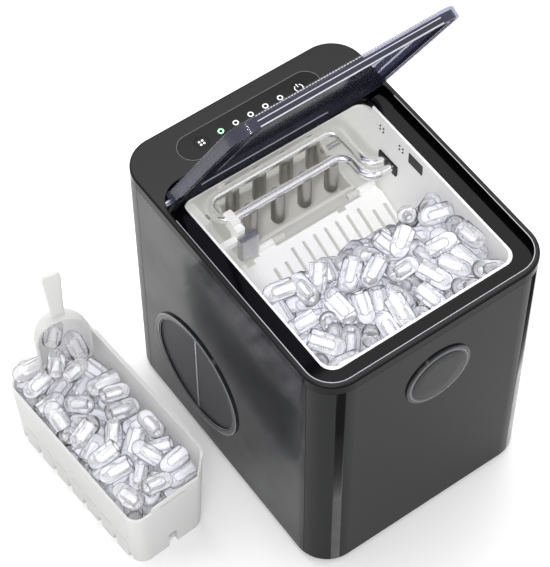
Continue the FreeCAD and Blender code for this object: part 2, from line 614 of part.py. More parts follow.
def make_basket():
    outer = Part.makeLoft([basket_layer(0, 0), basket_layer(BASKET_HIGH, 0)], True, True)
    inner = Part.makeLoft([basket_layer(4.0, BASKET_WALL), basket_layer(BASKET_HIGH + 6, BASKET_WALL)],
                          True, True)
    # what is cut away above the walls: the left wall is low, the short walls a little higher
    spots = [V(-60, 0, BASKET_LOW), V(-20, 0, BASKET_LOW), V(-17, 0, BASKET_END), V(29, 0, BASKET_END),
             V(35, 0, BASKET_HIGH - 4), V(38, 0, BASKET_HIGH + 1), V(-60, 0, BASKET_HIGH + 1),
             V(-60, 0, BASKET_LOW)]
    above = Part.Face(Part.makePolygon(spots)).extrude(V(0, 300, 0))
    above.translate(V(0, -150, 0))
    body = outer.cut([inner, above])
    flutes = []
    cuts = []
    for i in range(8):
        y = -BASKET_HALF_LENGTH + 11.5 + 21.7 * i
        cuts.append(Part.makeBox(12, 5.0, 11.0, V(-44, y - 2.5, -3.0)))
        cuts.append(Part.makeBox(12, 5.0, 11.0, V(32, y - 2.5, -3.0)))
        if i < 7:
            for x in (-BASKET_HALF_WIDTH, BASKET_HALF_WIDTH):
                flutes.append(slab(x - 1.5, x + 1.5, y + 2.6, y + 19.1, 0, 24, 1.45))
    for i in range(5):
        for j in range(2):
            y = -66 + 28 * i
            x = -22 + 24 * j
            cuts.append(slab(x, x + 18, y, y + 5, -1, 6, 2.4))
    for y in (-BASKET_HALF_LENGTH - 7, BASKET_HALF_LENGTH - 5):
        cuts.append(Part.makeBox(9, 12, 23, V(-4, y, -3)))
        cuts.append(Part.makeBox(25, 14, 2.4, V(-10, y - 1, BASKET_LOW)))
    room = Part.makeLoft([basket_layer(4.0, BASKET_WALL), basket_layer(40, BASKET_WALL)], True, True)
    body = joined([body] + [f.cut(room) for f in flutes]).cut(cuts)
    ring = rod(-16, BASKET_HALF_LENGTH + 4, BASKET_LOW - 6, 12, 3)
    ring = ring.cut(rod(-16, BASKET_HALF_LENGTH + 4, BASKET_LOW - 7, 8, 6))
    ring = ring.cut(Part.makeBox(60, 40, 30, V(-50, BASKET_HALF_LENGTH - 39.8, BASKET_LOW - 20)))
    w = BASKET_HALF_WIDTH + BASKET_SPREAD
    rim = slab(w - 2.0, w + 1.6, -66, 66, BASKET_HIGH - 3.0, BASKET_HIGH, 1.0)
    body = joined([body, ring, rim])
    body.rotate(V(0, 0, 0), V(0, 0, 1), BASKET_TURN)
    body.translate(V(BASKET_X, BASKET_Y, 0))
    keep("ice_basket", body)


def make_scoop():
    r = 24.0
    outer = joined([rod(0, 0, -66, r, 44), Part.makeSphere(r, V(0, 0, -22))])
    r2 = r - 1.9
    inner = joined([rod(0, 0, -70, r2, 48), Part.makeSphere(r2, V(0, 0, -22))])
    shell = outer.cut(inner)
    shell = shell.cut(Part.makeBox(80, 60, 120, V(-40, -63, -90)))
    nose = Part.makePolygon([V(0, -40, -40), V(0, -40, -70), V(0, 8, -70), V(0, -3, -40), V(0, -40, -40)])
    nose_cut = Part.Face(nose).extrude(V(80, 0, 0))
    nose_cut.translate(V(-40, 0, 0))
    shell = shell.cut(nose_cut)
    spots = [V(-6.0, 2.2, -2), V(6.0, 2.2, -2), V(6.6, 2.2, 20), V(8.4, 2.2, 46), V(6.4, 2.2, 52),
             V(-6.4, 2.2, 52), V(-8.4, 2.2, 46), V(-6.6, 2.2, 20), V(-6.0, 2.2, -2)]
    handle = Part.Face(Part.makePolygon(spots)).extrude(V(0, 4.6, 0))
    handle = softened(handle, 1.4, lambda e: e.Length > 4.9)
    body = joined([shell, handle.cut(Part.makeSphere(r2, V(0, 0, -22)))])
    body.rotate(V(0, 0, 0), V(1, 0, 0), -8)
    body.rotate(V(0, 0, 0), V(0, 0, 1), -14)
    body.translate(V(-195.3, 112, 157.9))
    keep("ice_scoop", body)


# ---------------------------------------------------------------- build and write
make_casing()
make_top_cover()
make_controls()
make_outside_trim()
make_lid()
make_liner()
make_evaporator()
make_tray()
make_pusher()
make_machinery()
make_basket()
make_scoop()

# The origin goes to the middle of the whole set's footprint, on the floor.
whole = Part.makeCompound(list(PARTS.values()))
box = whole.optimalBoundingBox(True, False)
shift = V(-(box.XMin + box.XMax) / 2, -(box.YMin + box.YMax) / 2, -box.ZMin)
print("set size", round(box.XLength, 2), round(box.YLength, 2), round(box.ZLength, 2))
print("shift", [round(v, 3) for v in (shift.x, shift.y, shift.z)])

os.makedirs("parts", exist_ok=True)
for name, shape in PARTS.items():
    moved = shape.copy()
    moved.translate(shift)
    sound = moved.isValid() and all(s.isClosed() for s in moved.Shells)
    if not sound or not moved.Solids:
        print("CHECK THIS PIECE", name, moved.isValid(), len(moved.Solids))
    moved.exportStep("parts/" + name + ".step")
print(len(PARTS), "pieces written")
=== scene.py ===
# %% [markdown]
# # A countertop ice maker
# This lesson dresses a finished mechanical model of an ice maker. The solids, their sizes and their joints
# come from the frame, and this file adds finishes, small surface details, the ice, the light and the camera.
# Everything is in metres, and every piece says which body of the machine it rides on.

# %% Load the frame
import math
import random
import bmesh
import bpy
from mathutils import Euler, Matrix, Vector


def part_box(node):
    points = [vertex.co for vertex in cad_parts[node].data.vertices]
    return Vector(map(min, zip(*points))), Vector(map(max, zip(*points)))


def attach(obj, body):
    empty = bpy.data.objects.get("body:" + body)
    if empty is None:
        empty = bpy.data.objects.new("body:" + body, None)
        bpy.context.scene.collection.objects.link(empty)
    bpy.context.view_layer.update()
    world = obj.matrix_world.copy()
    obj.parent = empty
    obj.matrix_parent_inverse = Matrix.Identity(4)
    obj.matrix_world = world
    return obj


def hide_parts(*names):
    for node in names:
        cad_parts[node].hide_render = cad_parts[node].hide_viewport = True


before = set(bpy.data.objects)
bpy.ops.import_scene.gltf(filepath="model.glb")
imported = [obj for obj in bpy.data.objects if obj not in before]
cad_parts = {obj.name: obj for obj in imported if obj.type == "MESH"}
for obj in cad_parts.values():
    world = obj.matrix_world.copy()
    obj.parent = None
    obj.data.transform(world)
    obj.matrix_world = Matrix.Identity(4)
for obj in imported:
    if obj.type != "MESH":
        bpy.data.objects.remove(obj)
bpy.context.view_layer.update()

# %% [markdown]
# The frame's origin is under the whole set, basket included. The casing is easier to work on from its own
# middle, so one function turns casing millimetres into frame metres. The casing's middle is the middle of
# its top cover, which is as wide and as deep as the casing.

# %% Casing coordinates
cover_low, cover_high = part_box("top_cover")
casing_x = (cover_low.x + cover_high.x) / 2
casing_y = (cover_low.y + cover_high.y) / 2
MM = 0.001


def on_casing(x, y, z):
    return Vector((casing_x + x * MM, casing_y + y * MM, z * MM))


def casing_mm(point):
    return ((point.x - casing_x) / MM, (point.y - casing_y) / MM, point.z / MM)


print("casing middle", round(casing_x, 4), round(casing_y, 4))

# %% [markdown]
# ## Camera
# A long lens from high at the front left flattens the casing and shows its top, its front and its vented
# side at once. The camera's axes are written out, because a small roll about the view axis is easiest to
# give as a turn of the right and up vectors.

# %% Camera
azimuth = math.radians(-35.44)
elevation = math.radians(55.80)
roll = math.radians(-0.33)
aim = on_casing(-55.1, 0.6, 222.8)
back = Vector((math.sin(azimuth) * math.cos(elevation),
               -math.cos(azimuth) * math.cos(elevation),
               math.sin(elevation)))
level_right = Vector((math.cos(azimuth), math.sin(azimuth), 0))
level_up = back.cross(level_right)
right = level_right * math.cos(roll) + level_up * math.sin(roll)
up = level_up * math.cos(roll) - level_right * math.sin(roll)
lens = bpy.data.cameras.new("product_lens")
lens.lens = 145.96
lens.sensor_width = 36
lens.clip_start = 0.05
lens.clip_end = 20
camera = bpy.data.objects.new("product_camera", lens)
turn = Matrix((right, up, back)).transposed().to_4x4()
camera.matrix_world = Matrix.Translation(aim + back * 1.8445) @ turn
bpy.context.scene.collection.objects.link(camera)
bpy.context.scene.camera = camera
print("camera at", [round(v, 3) for v in camera.location])

# %% [markdown]
# ## Colours and nodes
# Paint and plastic colours are written as sRGB hex, the way a colour chart gives them, and one function
# turns them to the linear values that shaders use. A second function adds any node with its settings and
# its links, so a material reads as a short list.

# %% Colour and node helpers


def linear(hex_code):
    """sRGB hex to linear RGBA."""
    channels = [int(hex_code[i:i + 2], 16) / 255 for i in (1, 3, 5)]
    bent = [c / 12.92 if c <= 0.04045 else ((c + 0.055) / 1.055) ** 2.4 for c in channels]
    return (*bent, 1.0)


def add_node(material, kind, settings=None, links=None):
    """Adds one node. settings: socket or attribute values; links: socket name to a node's output."""
    node = material.node_tree.nodes.new(kind)
    for key, value in (settings or {}).items():
        if isinstance(key, int) or key in node.inputs:
            node.inputs[key].default_value = value
        else:
            setattr(node, key, value)
    for key, output in (links or {}).items():
        material.node_tree.links.new(output, node.inputs[key])
    return node


def new_material(name):
    material = bpy.data.materials.new(name)
    material.use_nodes = True
    material.node_tree.nodes.clear()
    return material


def finish_with(material, shader_output):
    add_node(material, "ShaderNodeOutputMaterial", links={"Surface": shader_output})
    return material


def dress(node_names, material):
    """Gives CAD solids a material in place of their plain one."""
    for name in node_names:
        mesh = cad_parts[name].data
        mesh.materials.clear()
        mesh.materials.append(material)


print("grey 50 percent is", [round(c, 3) for c in linear("#808080")])

# %% [markdown]
# ## Meshes and objects
# Every piece is drawn in a bmesh, turned into a mesh, and linked to the scene as an object. The four
# directions used most have names too, in frame axes: X to the machine's right, Y to its rear, Z up.

# %% Mesh helpers
X_AXIS = Vector((1, 0, 0))
Y_AXIS = Vector((0, 1, 0))
Z_AXIS = Vector((0, 0, 1))
OUT_LEFT = Vector((-1, 0, 0))


def mesh_from(name, bm):
    mesh = bpy.data.meshes.new(name)
    bm.to_mesh(mesh)
    bm.free()
    return mesh


def placed(name, data):
    """An object made from a mesh or a light, linked to the scene."""
    thing = bpy.data.objects.new(name, data)
    bpy.context.scene.collection.objects.link(thing)
    return thing


print("axes", X_AXIS[:], Y_AXIS[:], Z_AXIS[:])

# %% [markdown]
# ## Moulded plastics
# Most of the machine is injection-moulded ABS. What separates its parts is how the mould was finished:
# polished steel gives a mirror gloss, and spark erosion gives a fine satin grain. One recipe makes all of
# them: a base colour with a faint flow mottle, a roughness that wanders a little, and a grain bump whose
# scale is a real grain size in millimetres.

# %% Moulded plastic recipe


def moulded_plastic(name, hex_code, roughness, grain_mm, grain_depth_mm, gloss=0.5, mottle=0.06,
                    wander=0.04, patch_mm=38.0, ior=1.52, gloss_patch=0.0, painted_glow=0.0):
    """ABS or polypropylene: grain_mm is the pitch of the mould's texture, gloss its specular level.

    gloss_patch is how much the gloss varies in soft patches, and the last argument the strength of a painted
    glow in the base colour that lifts the shade.
    """
    m = new_material(name)
    place = add_node(m, "ShaderNodeTexCoord").outputs["Object"]
    flow = add_node(m, "ShaderNodeTexNoise", {"Scale": 1000 / patch_mm, "Detail": 3.0}, {"Vector": place})
    tone = add_node(m, "ShaderNodeMapRange", {"To Min": 1.0 - mottle, "To Max": 1.0 + mottle},
                    {"Value": flow.outputs["Fac"]})
    base = add_node(m, "ShaderNodeMix", {"data_type": "RGBA", "blend_type": "MULTIPLY"})
    base.inputs[0].default_value = 1.0
    base.inputs[6].default_value = linear(hex_code)
    m.node_tree.links.new(tone.outputs["Result"], base.inputs[7])
    rub = add_node(m, "ShaderNodeTexNoise", {"Scale": 1000 / 14.0, "Detail": 4.0}, {"Vector": place})
    rough = add_node(m, "ShaderNodeMapRange", {"To Min": max(roughness - wander, 0.02),
                                               "To Max": roughness + wander},
                     {"Value": rub.outputs["Fac"]})
    grain = add_node(m, "ShaderNodeTexNoise", {"Scale": 1000 / grain_mm, "Detail": 2.0},
                     {"Vector": place})
    bump = add_node(m, "ShaderNodeBump", {"Strength": 1.0, "Distance": grain_depth_mm * MM},
                    {"Height": grain.outputs["Fac"]})
    # The emission is a painted glow in the base colour that lifts the shade.
    shader = add_node(m, "ShaderNodeBsdfPrincipled",
                      {"IOR": ior, "Specular IOR Level": gloss,
                       "Emission Color": linear(hex_code), "Emission Strength": painted_glow},
                      {"Base Color": base.outputs[2], "Roughness": rough.outputs["Result"],
                       "Normal": bump.outputs["Normal"]})
    if gloss_patch:
        level = add_node(m, "ShaderNodeMapRange",
                         {"From Min": 0.35, "From Max": 0.65, "To Min": gloss * (1 - gloss_patch),
                          "To Max": gloss * (1 + gloss_patch)}, {"Value": flow.outputs["Fac"]})
        m.node_tree.links.new(level.outputs["Result"], shader.inputs["Specular IOR Level"])
    return finish_with(m, shader.outputs["BSDF"])


# Polished ABS: nearly a mirror, so the worktop shows in it.
front_gloss_abs = moulded_plastic("front_gloss_abs", "#111214", 0.10, 9.0, 0.004, gloss=0.085)
side_gloss_abs = moulded_plastic("side_gloss_abs", "#15161A", 0.12, 9.0, 0.004, gloss=0.135,
                                 patch_mm=75.0, gloss_patch=0.38)
# Spark-eroded ABS: a fine satin that spreads highlights softly.
satin_abs = moulded_plastic("satin_abs", "#161617", 0.42, 0.7, 0.02)
panel_gloss_abs = moulded_plastic("panel_gloss_abs", "#0A0A0B", 0.2, 6.0, 0.003, gloss=0.12)
bezel_abs = moulded_plastic("bezel_abs", "#222326", 0.14, 6.0, 0.004, gloss=0.3)
badge_abs = moulded_plastic("badge_abs", "#18191B", 0.34, 0.9, 0.01, gloss=0.18)
matte_black_abs = moulded_plastic("matte_black_abs", "#0B0B0C", 0.5, 0.8, 0.03)
polished_black = moulded_plastic("polished_black", "#050506", 0.08, 9.0, 0.002, gloss=0.12)
# Food-safe ABS and polypropylene inside: white, a little soft, with a faint painted glow that lifts their
# shade.
liner_abs = moulded_plastic("liner_abs", "#ECECEA", 0.38, 1.2, 0.01, mottle=0.02, painted_glow=0.14)
pusher_abs = moulded_plastic("pusher_abs", "#F4F4F2", 0.36, 1.0, 0.01, mottle=0.015, painted_glow=0.16)
tray_abs = moulded_plastic("tray_abs", "#D8D7D3", 0.34, 1.4, 0.01, mottle=0.03, painted_glow=0.08)
foam_pu = moulded_plastic("foam_pu", "#E7DFC2", 0.85, 2.2, 0.5, mottle=0.08)
board_laminate = moulded_plastic("board_laminate", "#17502C", 0.4, 0.8, 0.02, mottle=0.12)
rubber = moulded_plastic("rubber", "#151515", 0.68, 0.9, 0.05, mottle=0.1)
hose_silicone = moulded_plastic("hose_silicone", "#C9C8C2", 0.32, 3.0, 0.01, mottle=0.03)


def two_finish_cover(name, split_z):
    """The top cover: satin on its upper faces, polished in the recess below split_z metres."""
    m = new_material(name)
    place = add_node(m, "ShaderNodeTexCoord").outputs["Object"]
    height = add_node(m, "ShaderNodeSeparateXYZ", None, {"Vector": place}).outputs["Z"]
    above = add_node(m, "ShaderNodeMath", {"operation": "GREATER_THAN", 1: split_z}, {0: height})
    rough = add_node(m, "ShaderNodeMapRange", {"To Min": 0.09, "To Max": 0.4},
                     {"Value": above.outputs["Value"]})
    grain = add_node(m, "ShaderNodeTexNoise", {"Scale": 1000 / 0.7, "Detail": 2.0}, {"Vector": place})
    depth = add_node(m, "ShaderNodeMath", {"operation": "MULTIPLY"},
                     {0: grain.outputs["Fac"], 1: above.outputs["Value"]})
    bump = add_node(m, "ShaderNodeBump", {"Strength": 1.0, "Distance": 0.02 * MM},
                    {"Height": depth.outputs["Value"]})
    base = add_node(m, "ShaderNodeMix", {"data_type": "RGBA"}, {0: above.outputs["Value"]})
    base.inputs[6].default_value = linear("#060607")
    base.inputs[7].default_value = linear("#101011")
    level = add_node(m, "ShaderNodeMapRange", {"To Min": 0.07, "To Max": 0.21},
                     {"Value": above.outputs["Value"]})
    shader = add_node(m, "ShaderNodeBsdfPrincipled", {"IOR": 1.52},
                      {"Base Color": base.outputs[2], "Roughness": rough.outputs["Result"],
                       "Specular IOR Level": level.outputs["Result"], "Normal": bump.outputs["Normal"]})
    return finish_with(m, shader.outputs["BSDF"])


POLISH_BELOW = 0.2842  # just under the deck, so that only the recess is polished
cover_abs = two_finish_cover("cover_abs", POLISH_BELOW)
dress(["top_cover"], cover_abs)
dress(["front_panel"], front_gloss_abs)
dress(["left_side_panel", "right_side_panel"], side_gloss_abs)
dress(["rear_cover"], satin_abs)
dress(["control_panel", "power_button", "mode_button"], panel_gloss_abs)
dress(["front_badge", "side_vent_ring"], bezel_abs)
dress(["side_vent_grille", "relay_cover", "fan_shroud", "fan_motor", "fan_rotor",
       "water_pump", "drain_socket", "cable_gland", "tube_grommet", "sensor_lenses", "sensor_window"],
      matte_black_abs)
dress(["inner_liner", "tray_motor"], liner_abs)
dress(["ice_pusher", "evaporator_bracket", "fill_spout", "level_float", "bin_drain_grid"], pusher_abs)
dress(["water_tray"], tray_abs)
dress(["foam_insulation"], foam_pu)
dress(["control_board", "display_board"], board_laminate)
dress(["rubber_feet", "compressor_mounts", "drain_plug"], rubber)
dress(["water_hose", "drain_hose"], hose_silicone)
print("plastics made", len(bpy.data.materials))

# %% [markdown]
# ## Metals
# The evaporator is copper with a bright nickel plate, drawn smooth, so its highlights are long clean lines.
# Painted steel, bare copper and pressed aluminium fins are inside the casing. A metal has no diffuse
# colour: its base colour is its reflection, and fine draw lines come from noise stretched along one axis.

# %% Metal recipe


def worked_metal(name, hex_code, roughness, line_mm, stretch, depth_mm, metallic=1.0):
    m = new_material(name)
    place = add_node(m, "ShaderNodeTexCoord").outputs["Object"]
    squeeze = add_node(m, "ShaderNodeMapping", {"Scale": stretch}, {"Vector": place})
    lines = add_node(m, "ShaderNodeTexNoise", {"Scale": 1000 / line_mm, "Detail": 3.0},
                     {"Vector": squeeze.outputs["Vector"]})
    rough = add_node(m, "ShaderNodeMapRange", {"To Min": max(roughness - 0.06, 0.03),
                                               "To Max": roughness + 0.06},
                     {"Value": lines.outputs["Fac"]})
    bump = add_node(m, "ShaderNodeBump", {"Strength": 1.0, "Distance": depth_mm * MM},
                    {"Height": lines.outputs["Fac"]})
    tint = add_node(m, "ShaderNodeMapRange", {"To Min": 0.9, "To Max": 1.05},
                    {"Value": lines.outputs["Fac"]})
    base = add_node(m, "ShaderNodeMix", {"data_type": "RGBA", "blend_type": "MULTIPLY"})
    base.inputs[0].default_value = 1.0
    base.inputs[6].default_value = linear(hex_code)
    m.node_tree.links.new(tint.outputs["Result"], base.inputs[7])
    shader = add_node(m, "ShaderNodeBsdfPrincipled", {"Metallic": metallic},
                      {"Base Color": base.outputs[2], "Roughness": rough.outputs["Result"],
                       "Normal": bump.outputs["Normal"]})
    return finish_with(m, shader.outputs["BSDF"])


nickel_plate = worked_metal("nickel_plate", "#FBFBFA", 0.16, 3.0, (1, 1, 1), 0.004, metallic=0.92)
finger_nickel = worked_metal("finger_nickel", "#B5B3AF", 0.36, 2.0, (1, 1, 0.3), 0.01)
brushed_steel = worked_metal("brushed_steel", "#C6C6C8", 0.28, 0.8, (0.1, 1, 1), 0.01)
painted_steel = worked_metal("painted_steel", "#1A1A1C", 0.45, 1.5, (1, 1, 1), 0.03, metallic=0.0)
bare_copper = worked_metal("bare_copper", "#C9835F", 0.3, 2.0, (1, 1, 1), 0.01)
fin_aluminium = worked_metal("fin_aluminium", "#D9DBDD", 0.35, 1.0, (1, 1, 0.2), 0.01)
dress(["evaporator_tube"], nickel_plate)
dress(["freezing_fingers"], finger_nickel)
dress(["tray_shafts", "pusher_pins", "lid_hinge_pins", "case_screws", "hot_gas_valve"], brushed_steel)
dress(["base_pan", "compressor", "pump_bracket"], painted_steel)
dress(["discharge_pipe", "suction_pipe", "filter_drier", "condenser_coil"], bare_copper)
dress(["condenser_fins"], fin_aluminium)
print("metals made", [m.name for m in bpy.data.materials][-6:])

# %% [markdown]
# ## Clear and milky plastics
# The lid is smoked polycarbonate, a clear plastic with a grey-violet dye, so its thick edges look darker
# than its face. The basket and the scoop are natural polypropylene: milky, so light soaks in and comes out
# softly. The first mixes a glossy dyed body with tinted light let straight through, and the second mixes a
# soft body with light that glows through from behind.

# %% Clear and milky plastics


def dyed_clear(name, hex_body, hex_through, let_through, roughness=0.06):
    """A thin dyed sheet: part body colour with gloss, part tinted light let straight through."""
    m = new_material(name)
    place = add_node(m, "ShaderNodeTexCoord").outputs["Object"]
    swirl = add_node(m, "ShaderNodeTexNoise", {"Scale": 1000 / 30.0, "Detail": 2.0}, {"Vector": place})
    rough = add_node(m, "ShaderNodeMapRange", {"To Min": roughness, "To Max": roughness + 0.05},
                     {"Value": swirl.outputs["Fac"]})
    share = add_node(m, "ShaderNodeMapRange", {"To Min": let_through - 0.05, "To Max": let_through + 0.05},
                     {"Value": swirl.outputs["Fac"]})
    body = add_node(m, "ShaderNodeBsdfPrincipled", {"Base Color": linear(hex_body), "IOR": 1.58},
                    {"Roughness": rough.outputs["Result"]})
    through = add_node(m, "ShaderNodeBsdfTransparent", {"Color": linear(hex_through)})
    both = add_node(m, "ShaderNodeMixShader", None,
                    {0: share.outputs["Result"], 1: body.outputs["BSDF"], 2: through.outputs["BSDF"]})
    return finish_with(m, both.outputs["Shader"])


def milky_plastic(name, hex_code, glow, roughness):
    m = new_material(name)
    place = add_node(m, "ShaderNodeTexCoord").outputs["Object"]
    cloud = add_node(m, "ShaderNodeTexNoise", {"Scale": 1000 / 25.0, "Detail": 3.0}, {"Vector": place})
    grain = add_node(m, "ShaderNodeTexNoise", {"Scale": 1000 / 1.6, "Detail": 1.0}, {"Vector": place})
    bump = add_node(m, "ShaderNodeBump", {"Strength": 1.0, "Distance": 0.02 * MM},
                    {"Height": grain.outputs["Fac"]})
    rough = add_node(m, "ShaderNodeMapRange", {"To Min": roughness - 0.05, "To Max": roughness + 0.08},
                     {"Value": cloud.outputs["Fac"]})
    body = add_node(m, "ShaderNodeBsdfPrincipled", {"Base Color": linear(hex_code), "IOR": 1.49},
                    {"Roughness": rough.outputs["Result"], "Normal": bump.outputs["Normal"]})
    through = add_node(m, "ShaderNodeBsdfTranslucent", {"Color": linear(hex_code)})
    both = add_node(m, "ShaderNodeMixShader", {"Fac": glow},
                    {1: body.outputs["BSDF"], 2: through.outputs["BSDF"]})
    return finish_with(m, both.outputs["Shader"])


smoked_polycarbonate = dyed_clear("smoked_polycarbonate", "#565664", "#DCDCE8", 0.7)
frame_polycarbonate = dyed_clear("frame_polycarbonate", "#3A3A46", "#B9B9CC", 0.55)
natural_polypropylene = milky_plastic("natural_polypropylene", "#ECECEB", 0.42, 0.3)
dress(["lid_shell"], smoked_polycarbonate)
dress(["lid_inner_frame", "lid_magnet_holder"], frame_polycarbonate)
dress(["ice_basket", "ice_scoop"], natural_polypropylene)
dress(["splash_guard"], brushed_steel)
print("clear plastics done")

# %% [markdown]
# ## Ice
# Bullet ice freezes round a metal finger, so each piece is a small thimble: a round-ended cylinder with a
# hole up its middle. Water ice bends light less than glass, with an index of 1.31. One profile is turned
# about its axis to make the mesh, and a soft wave dents it, because ice that has dripped is never exact.
# Trapped air whitens it a little, a painted white glow fills it deep in a heap, and its low-angle edges get
# fine dark outlines painted for the reflection of dark surroundings.

# %% One piece of ice


def clear_ice():
    m = new_material("clear_ice")
    place = add_node(m, "ShaderNodeTexCoord").outputs["Object"]
    frost = add_node(m, "ShaderNodeTexNoise", {"Scale": 1000 / 5.0, "Detail": 2.0}, {"Vector": place})
    rough = add_node(m, "ShaderNodeMapRange", {"To Min": 0.0, "To Max": 0.05},
                     {"Value": frost.outputs["Fac"]})
    ripple = add_node(m, "ShaderNodeBump", {"Strength": 0.6, "Distance": 0.3 * MM},
                      {"Height": frost.outputs["Fac"]})
    wet = add_node(m, "ShaderNodeBsdfPrincipled",
                   {"Base Color": linear("#FFFFFF"), "IOR": 1.31, "Transmission Weight": 1.0},
                   {"Roughness": rough.outputs["Result"], "Normal": ripple.outputs["Normal"]})
    # Behind the first two pieces the light is so scattered that the ice reads as plain white: a white
    # diffuse with a painted white glow on it.
    ray = add_node(m, "ShaderNodeLightPath")
    deep = add_node(m, "ShaderNodeMath", {"operation": "GREATER_THAN", 1: 3.0},
                    {0: ray.outputs["Transmission Depth"]})
    painted_white_glow = add_node(m, "ShaderNodeEmission", {"Color": linear("#F4F4FC"), "Strength": 0.34})
    white = add_node(m, "ShaderNodeBsdfDiffuse", {"Color": linear("#FFFFFF")})
    lit = add_node(m, "ShaderNodeAddShader", None, {0: painted_white_glow.outputs["Emission"], 1: white.outputs["BSDF"]})
    seen = add_node(m, "ShaderNodeMixShader", None,
                    {0: deep.outputs["Value"], 1: wet.outputs["BSDF"], 2: lit.outputs["Shader"]})
    # Trapped air gives every piece a little white of its own.
    air = add_node(m, "ShaderNodeMixShader", {0: 0.16},
                   {1: seen.outputs["Shader"], 2: white.outputs["BSDF"]})
    # Seen at a low angle, a wet surface mirrors its dark surroundings; that reflection is painted here as a
    # fine dark outline.
    turn_away = add_node(m, "ShaderNodeLayerWeight", {"Blend": 0.5})
    outline = add_node(m, "ShaderNodeMapRange", {"From Min": 0.66, "From Max": 0.86, "To Max": 0.85},
                       {"Value": turn_away.outputs["Facing"]})
    shade = add_node(m, "ShaderNodeBsdfDiffuse", {"Color": linear("#14151C")})
    edged = add_node(m, "ShaderNodeMixShader", None,
                     {0: outline.outputs["Result"], 1: air.outputs["Shader"], 2: shade.outputs["BSDF"]})
    lamps = add_node(m, "ShaderNodeMath", {"operation": "MAXIMUM"},
                     {0: ray.outputs["Is Shadow Ray"], 1: ray.outputs["Is Diffuse Ray"]})
    passes = add_node(m, "ShaderNodeBsdfTransparent", {"Color": linear("#FBFBFE")})
    both = add_node(m, "ShaderNodeMixShader", None,
                    {0: lamps.outputs["Value"], 1: edged.outputs["Shader"], 2: passes.outputs["BSDF"]})
    return finish_with(m, both.outputs["Shader"])


ice = clear_ice()


def bullet_profile(length, radius, hole, depth):
    """Points (radius, height) from the nose's tip, down the outside, and up the hole."""
    points = []
    for i in range(6):
        a = math.radians(90 - 15 * i)
        points.append((radius * math.cos(a), length - radius + radius * math.sin(a)))
    points.append((radius, length - radius))
    points.append((radius * 1.04, length * 0.35))
    points.append((radius * 1.05, 0.6 * MM))
    points.append((radius * 0.98, 0))
    points.append((hole * 1.12, 0))
    points.append((hole, 0.8 * MM))
    points.append((hole * 0.92, depth - hole * 0.8))
    points.append((hole * 0.6, depth - hole * 0.25))
    points.append((0, depth))
    return points


def bullet_mesh(name, seed, sides=16):
    chance = random.Random(seed)
    length = chance.uniform(25, 30) * MM
    radius = chance.uniform(6.8, 7.8) * MM
    profile = bullet_profile(length, radius, chance.uniform(3.2, 3.8) * MM, length * 0.72)
    bm = bmesh.new()
    rings = []
    for r, z in profile:
        if r < 1e-7:
            rings.append([bm.verts.new((0, 0, z))])
            continue
        ring = []
        for i in range(sides):
            a = 2 * math.pi * i / sides
            wave = 1 + 0.035 * math.sin(2 * a + seed) + 0.02 * math.sin(3 * a + 2 * seed + z * 200)
            ring.append(bm.verts.new((r * wave * math.cos(a), r * wave * math.sin(a), z)))
        rings.append(ring)
    for upper, lower in zip(rings, rings[1:]):
        for i in range(sides):
            j = (i + 1) % sides
            if len(upper) == 1:
                bm.faces.new((upper[0], lower[j], lower[i]))
            elif len(lower) == 1:
                bm.faces.new((upper[i], upper[j], lower[0]))
            else:
                bm.faces.new((upper[i], upper[j], lower[j], lower[i]))
    bmesh.ops.recalc_face_normals(bm, faces=bm.faces)
    middle = Matrix.Translation((0, 0, -length / 2))
    bmesh.ops.transform(bm, matrix=middle, verts=bm.verts)
    for face in bm.faces:
        face.smooth = True
    mesh = mesh_from(name, bm)
    mesh.materials.append(ice)
    return mesh


bullets = [bullet_mesh("bullet_%d" % k, k + 1) for k in range(5)]
print("bullet faces", [len(b.polygons) for b in bullets])

# %% [markdown]
# ## Dropping the ice
# A heap looks real when gravity made it. Each heap is dropped with Blender's rigid bodies into an unseen
# box of the right size, the last positions are copied, and the simulation is taken away. The start is
# seeded, so every run gives the same heap.

# %% Rigid-body heap
SIM_STEPS = 14
WET_FRICTION = 0.25
PIECE_KG = 0.005


def wall_mesh(name, corners_low, corners_high):
    bm = bmesh.new()
    bmesh.ops.create_cube(bm, size=1.0)
    size = Vector(corners_high) - Vector(corners_low)
    middle = (Vector(corners_high) + Vector(corners_low)) / 2
    bmesh.ops.transform(bm, matrix=Matrix.Translation(middle) @ Matrix.Diagonal((*size, 1)), verts=bm.verts)
    return mesh_from(name, bm)


def passive(mesh, matrix=None):
    holder = placed("sim_" + mesh.name, mesh)
    if matrix is not None:
        holder.matrix_world = matrix
    bpy.context.view_layer.objects.active = holder
    bpy.ops.rigidbody.object_add(type="PASSIVE")
    holder.rigid_body.collision_shape = "MESH"
    holder.rigid_body.friction = WET_FRICTION
    holder.rigid_body.use_margin = True
    holder.rigid_body.collision_margin = 0.0003
    return holder


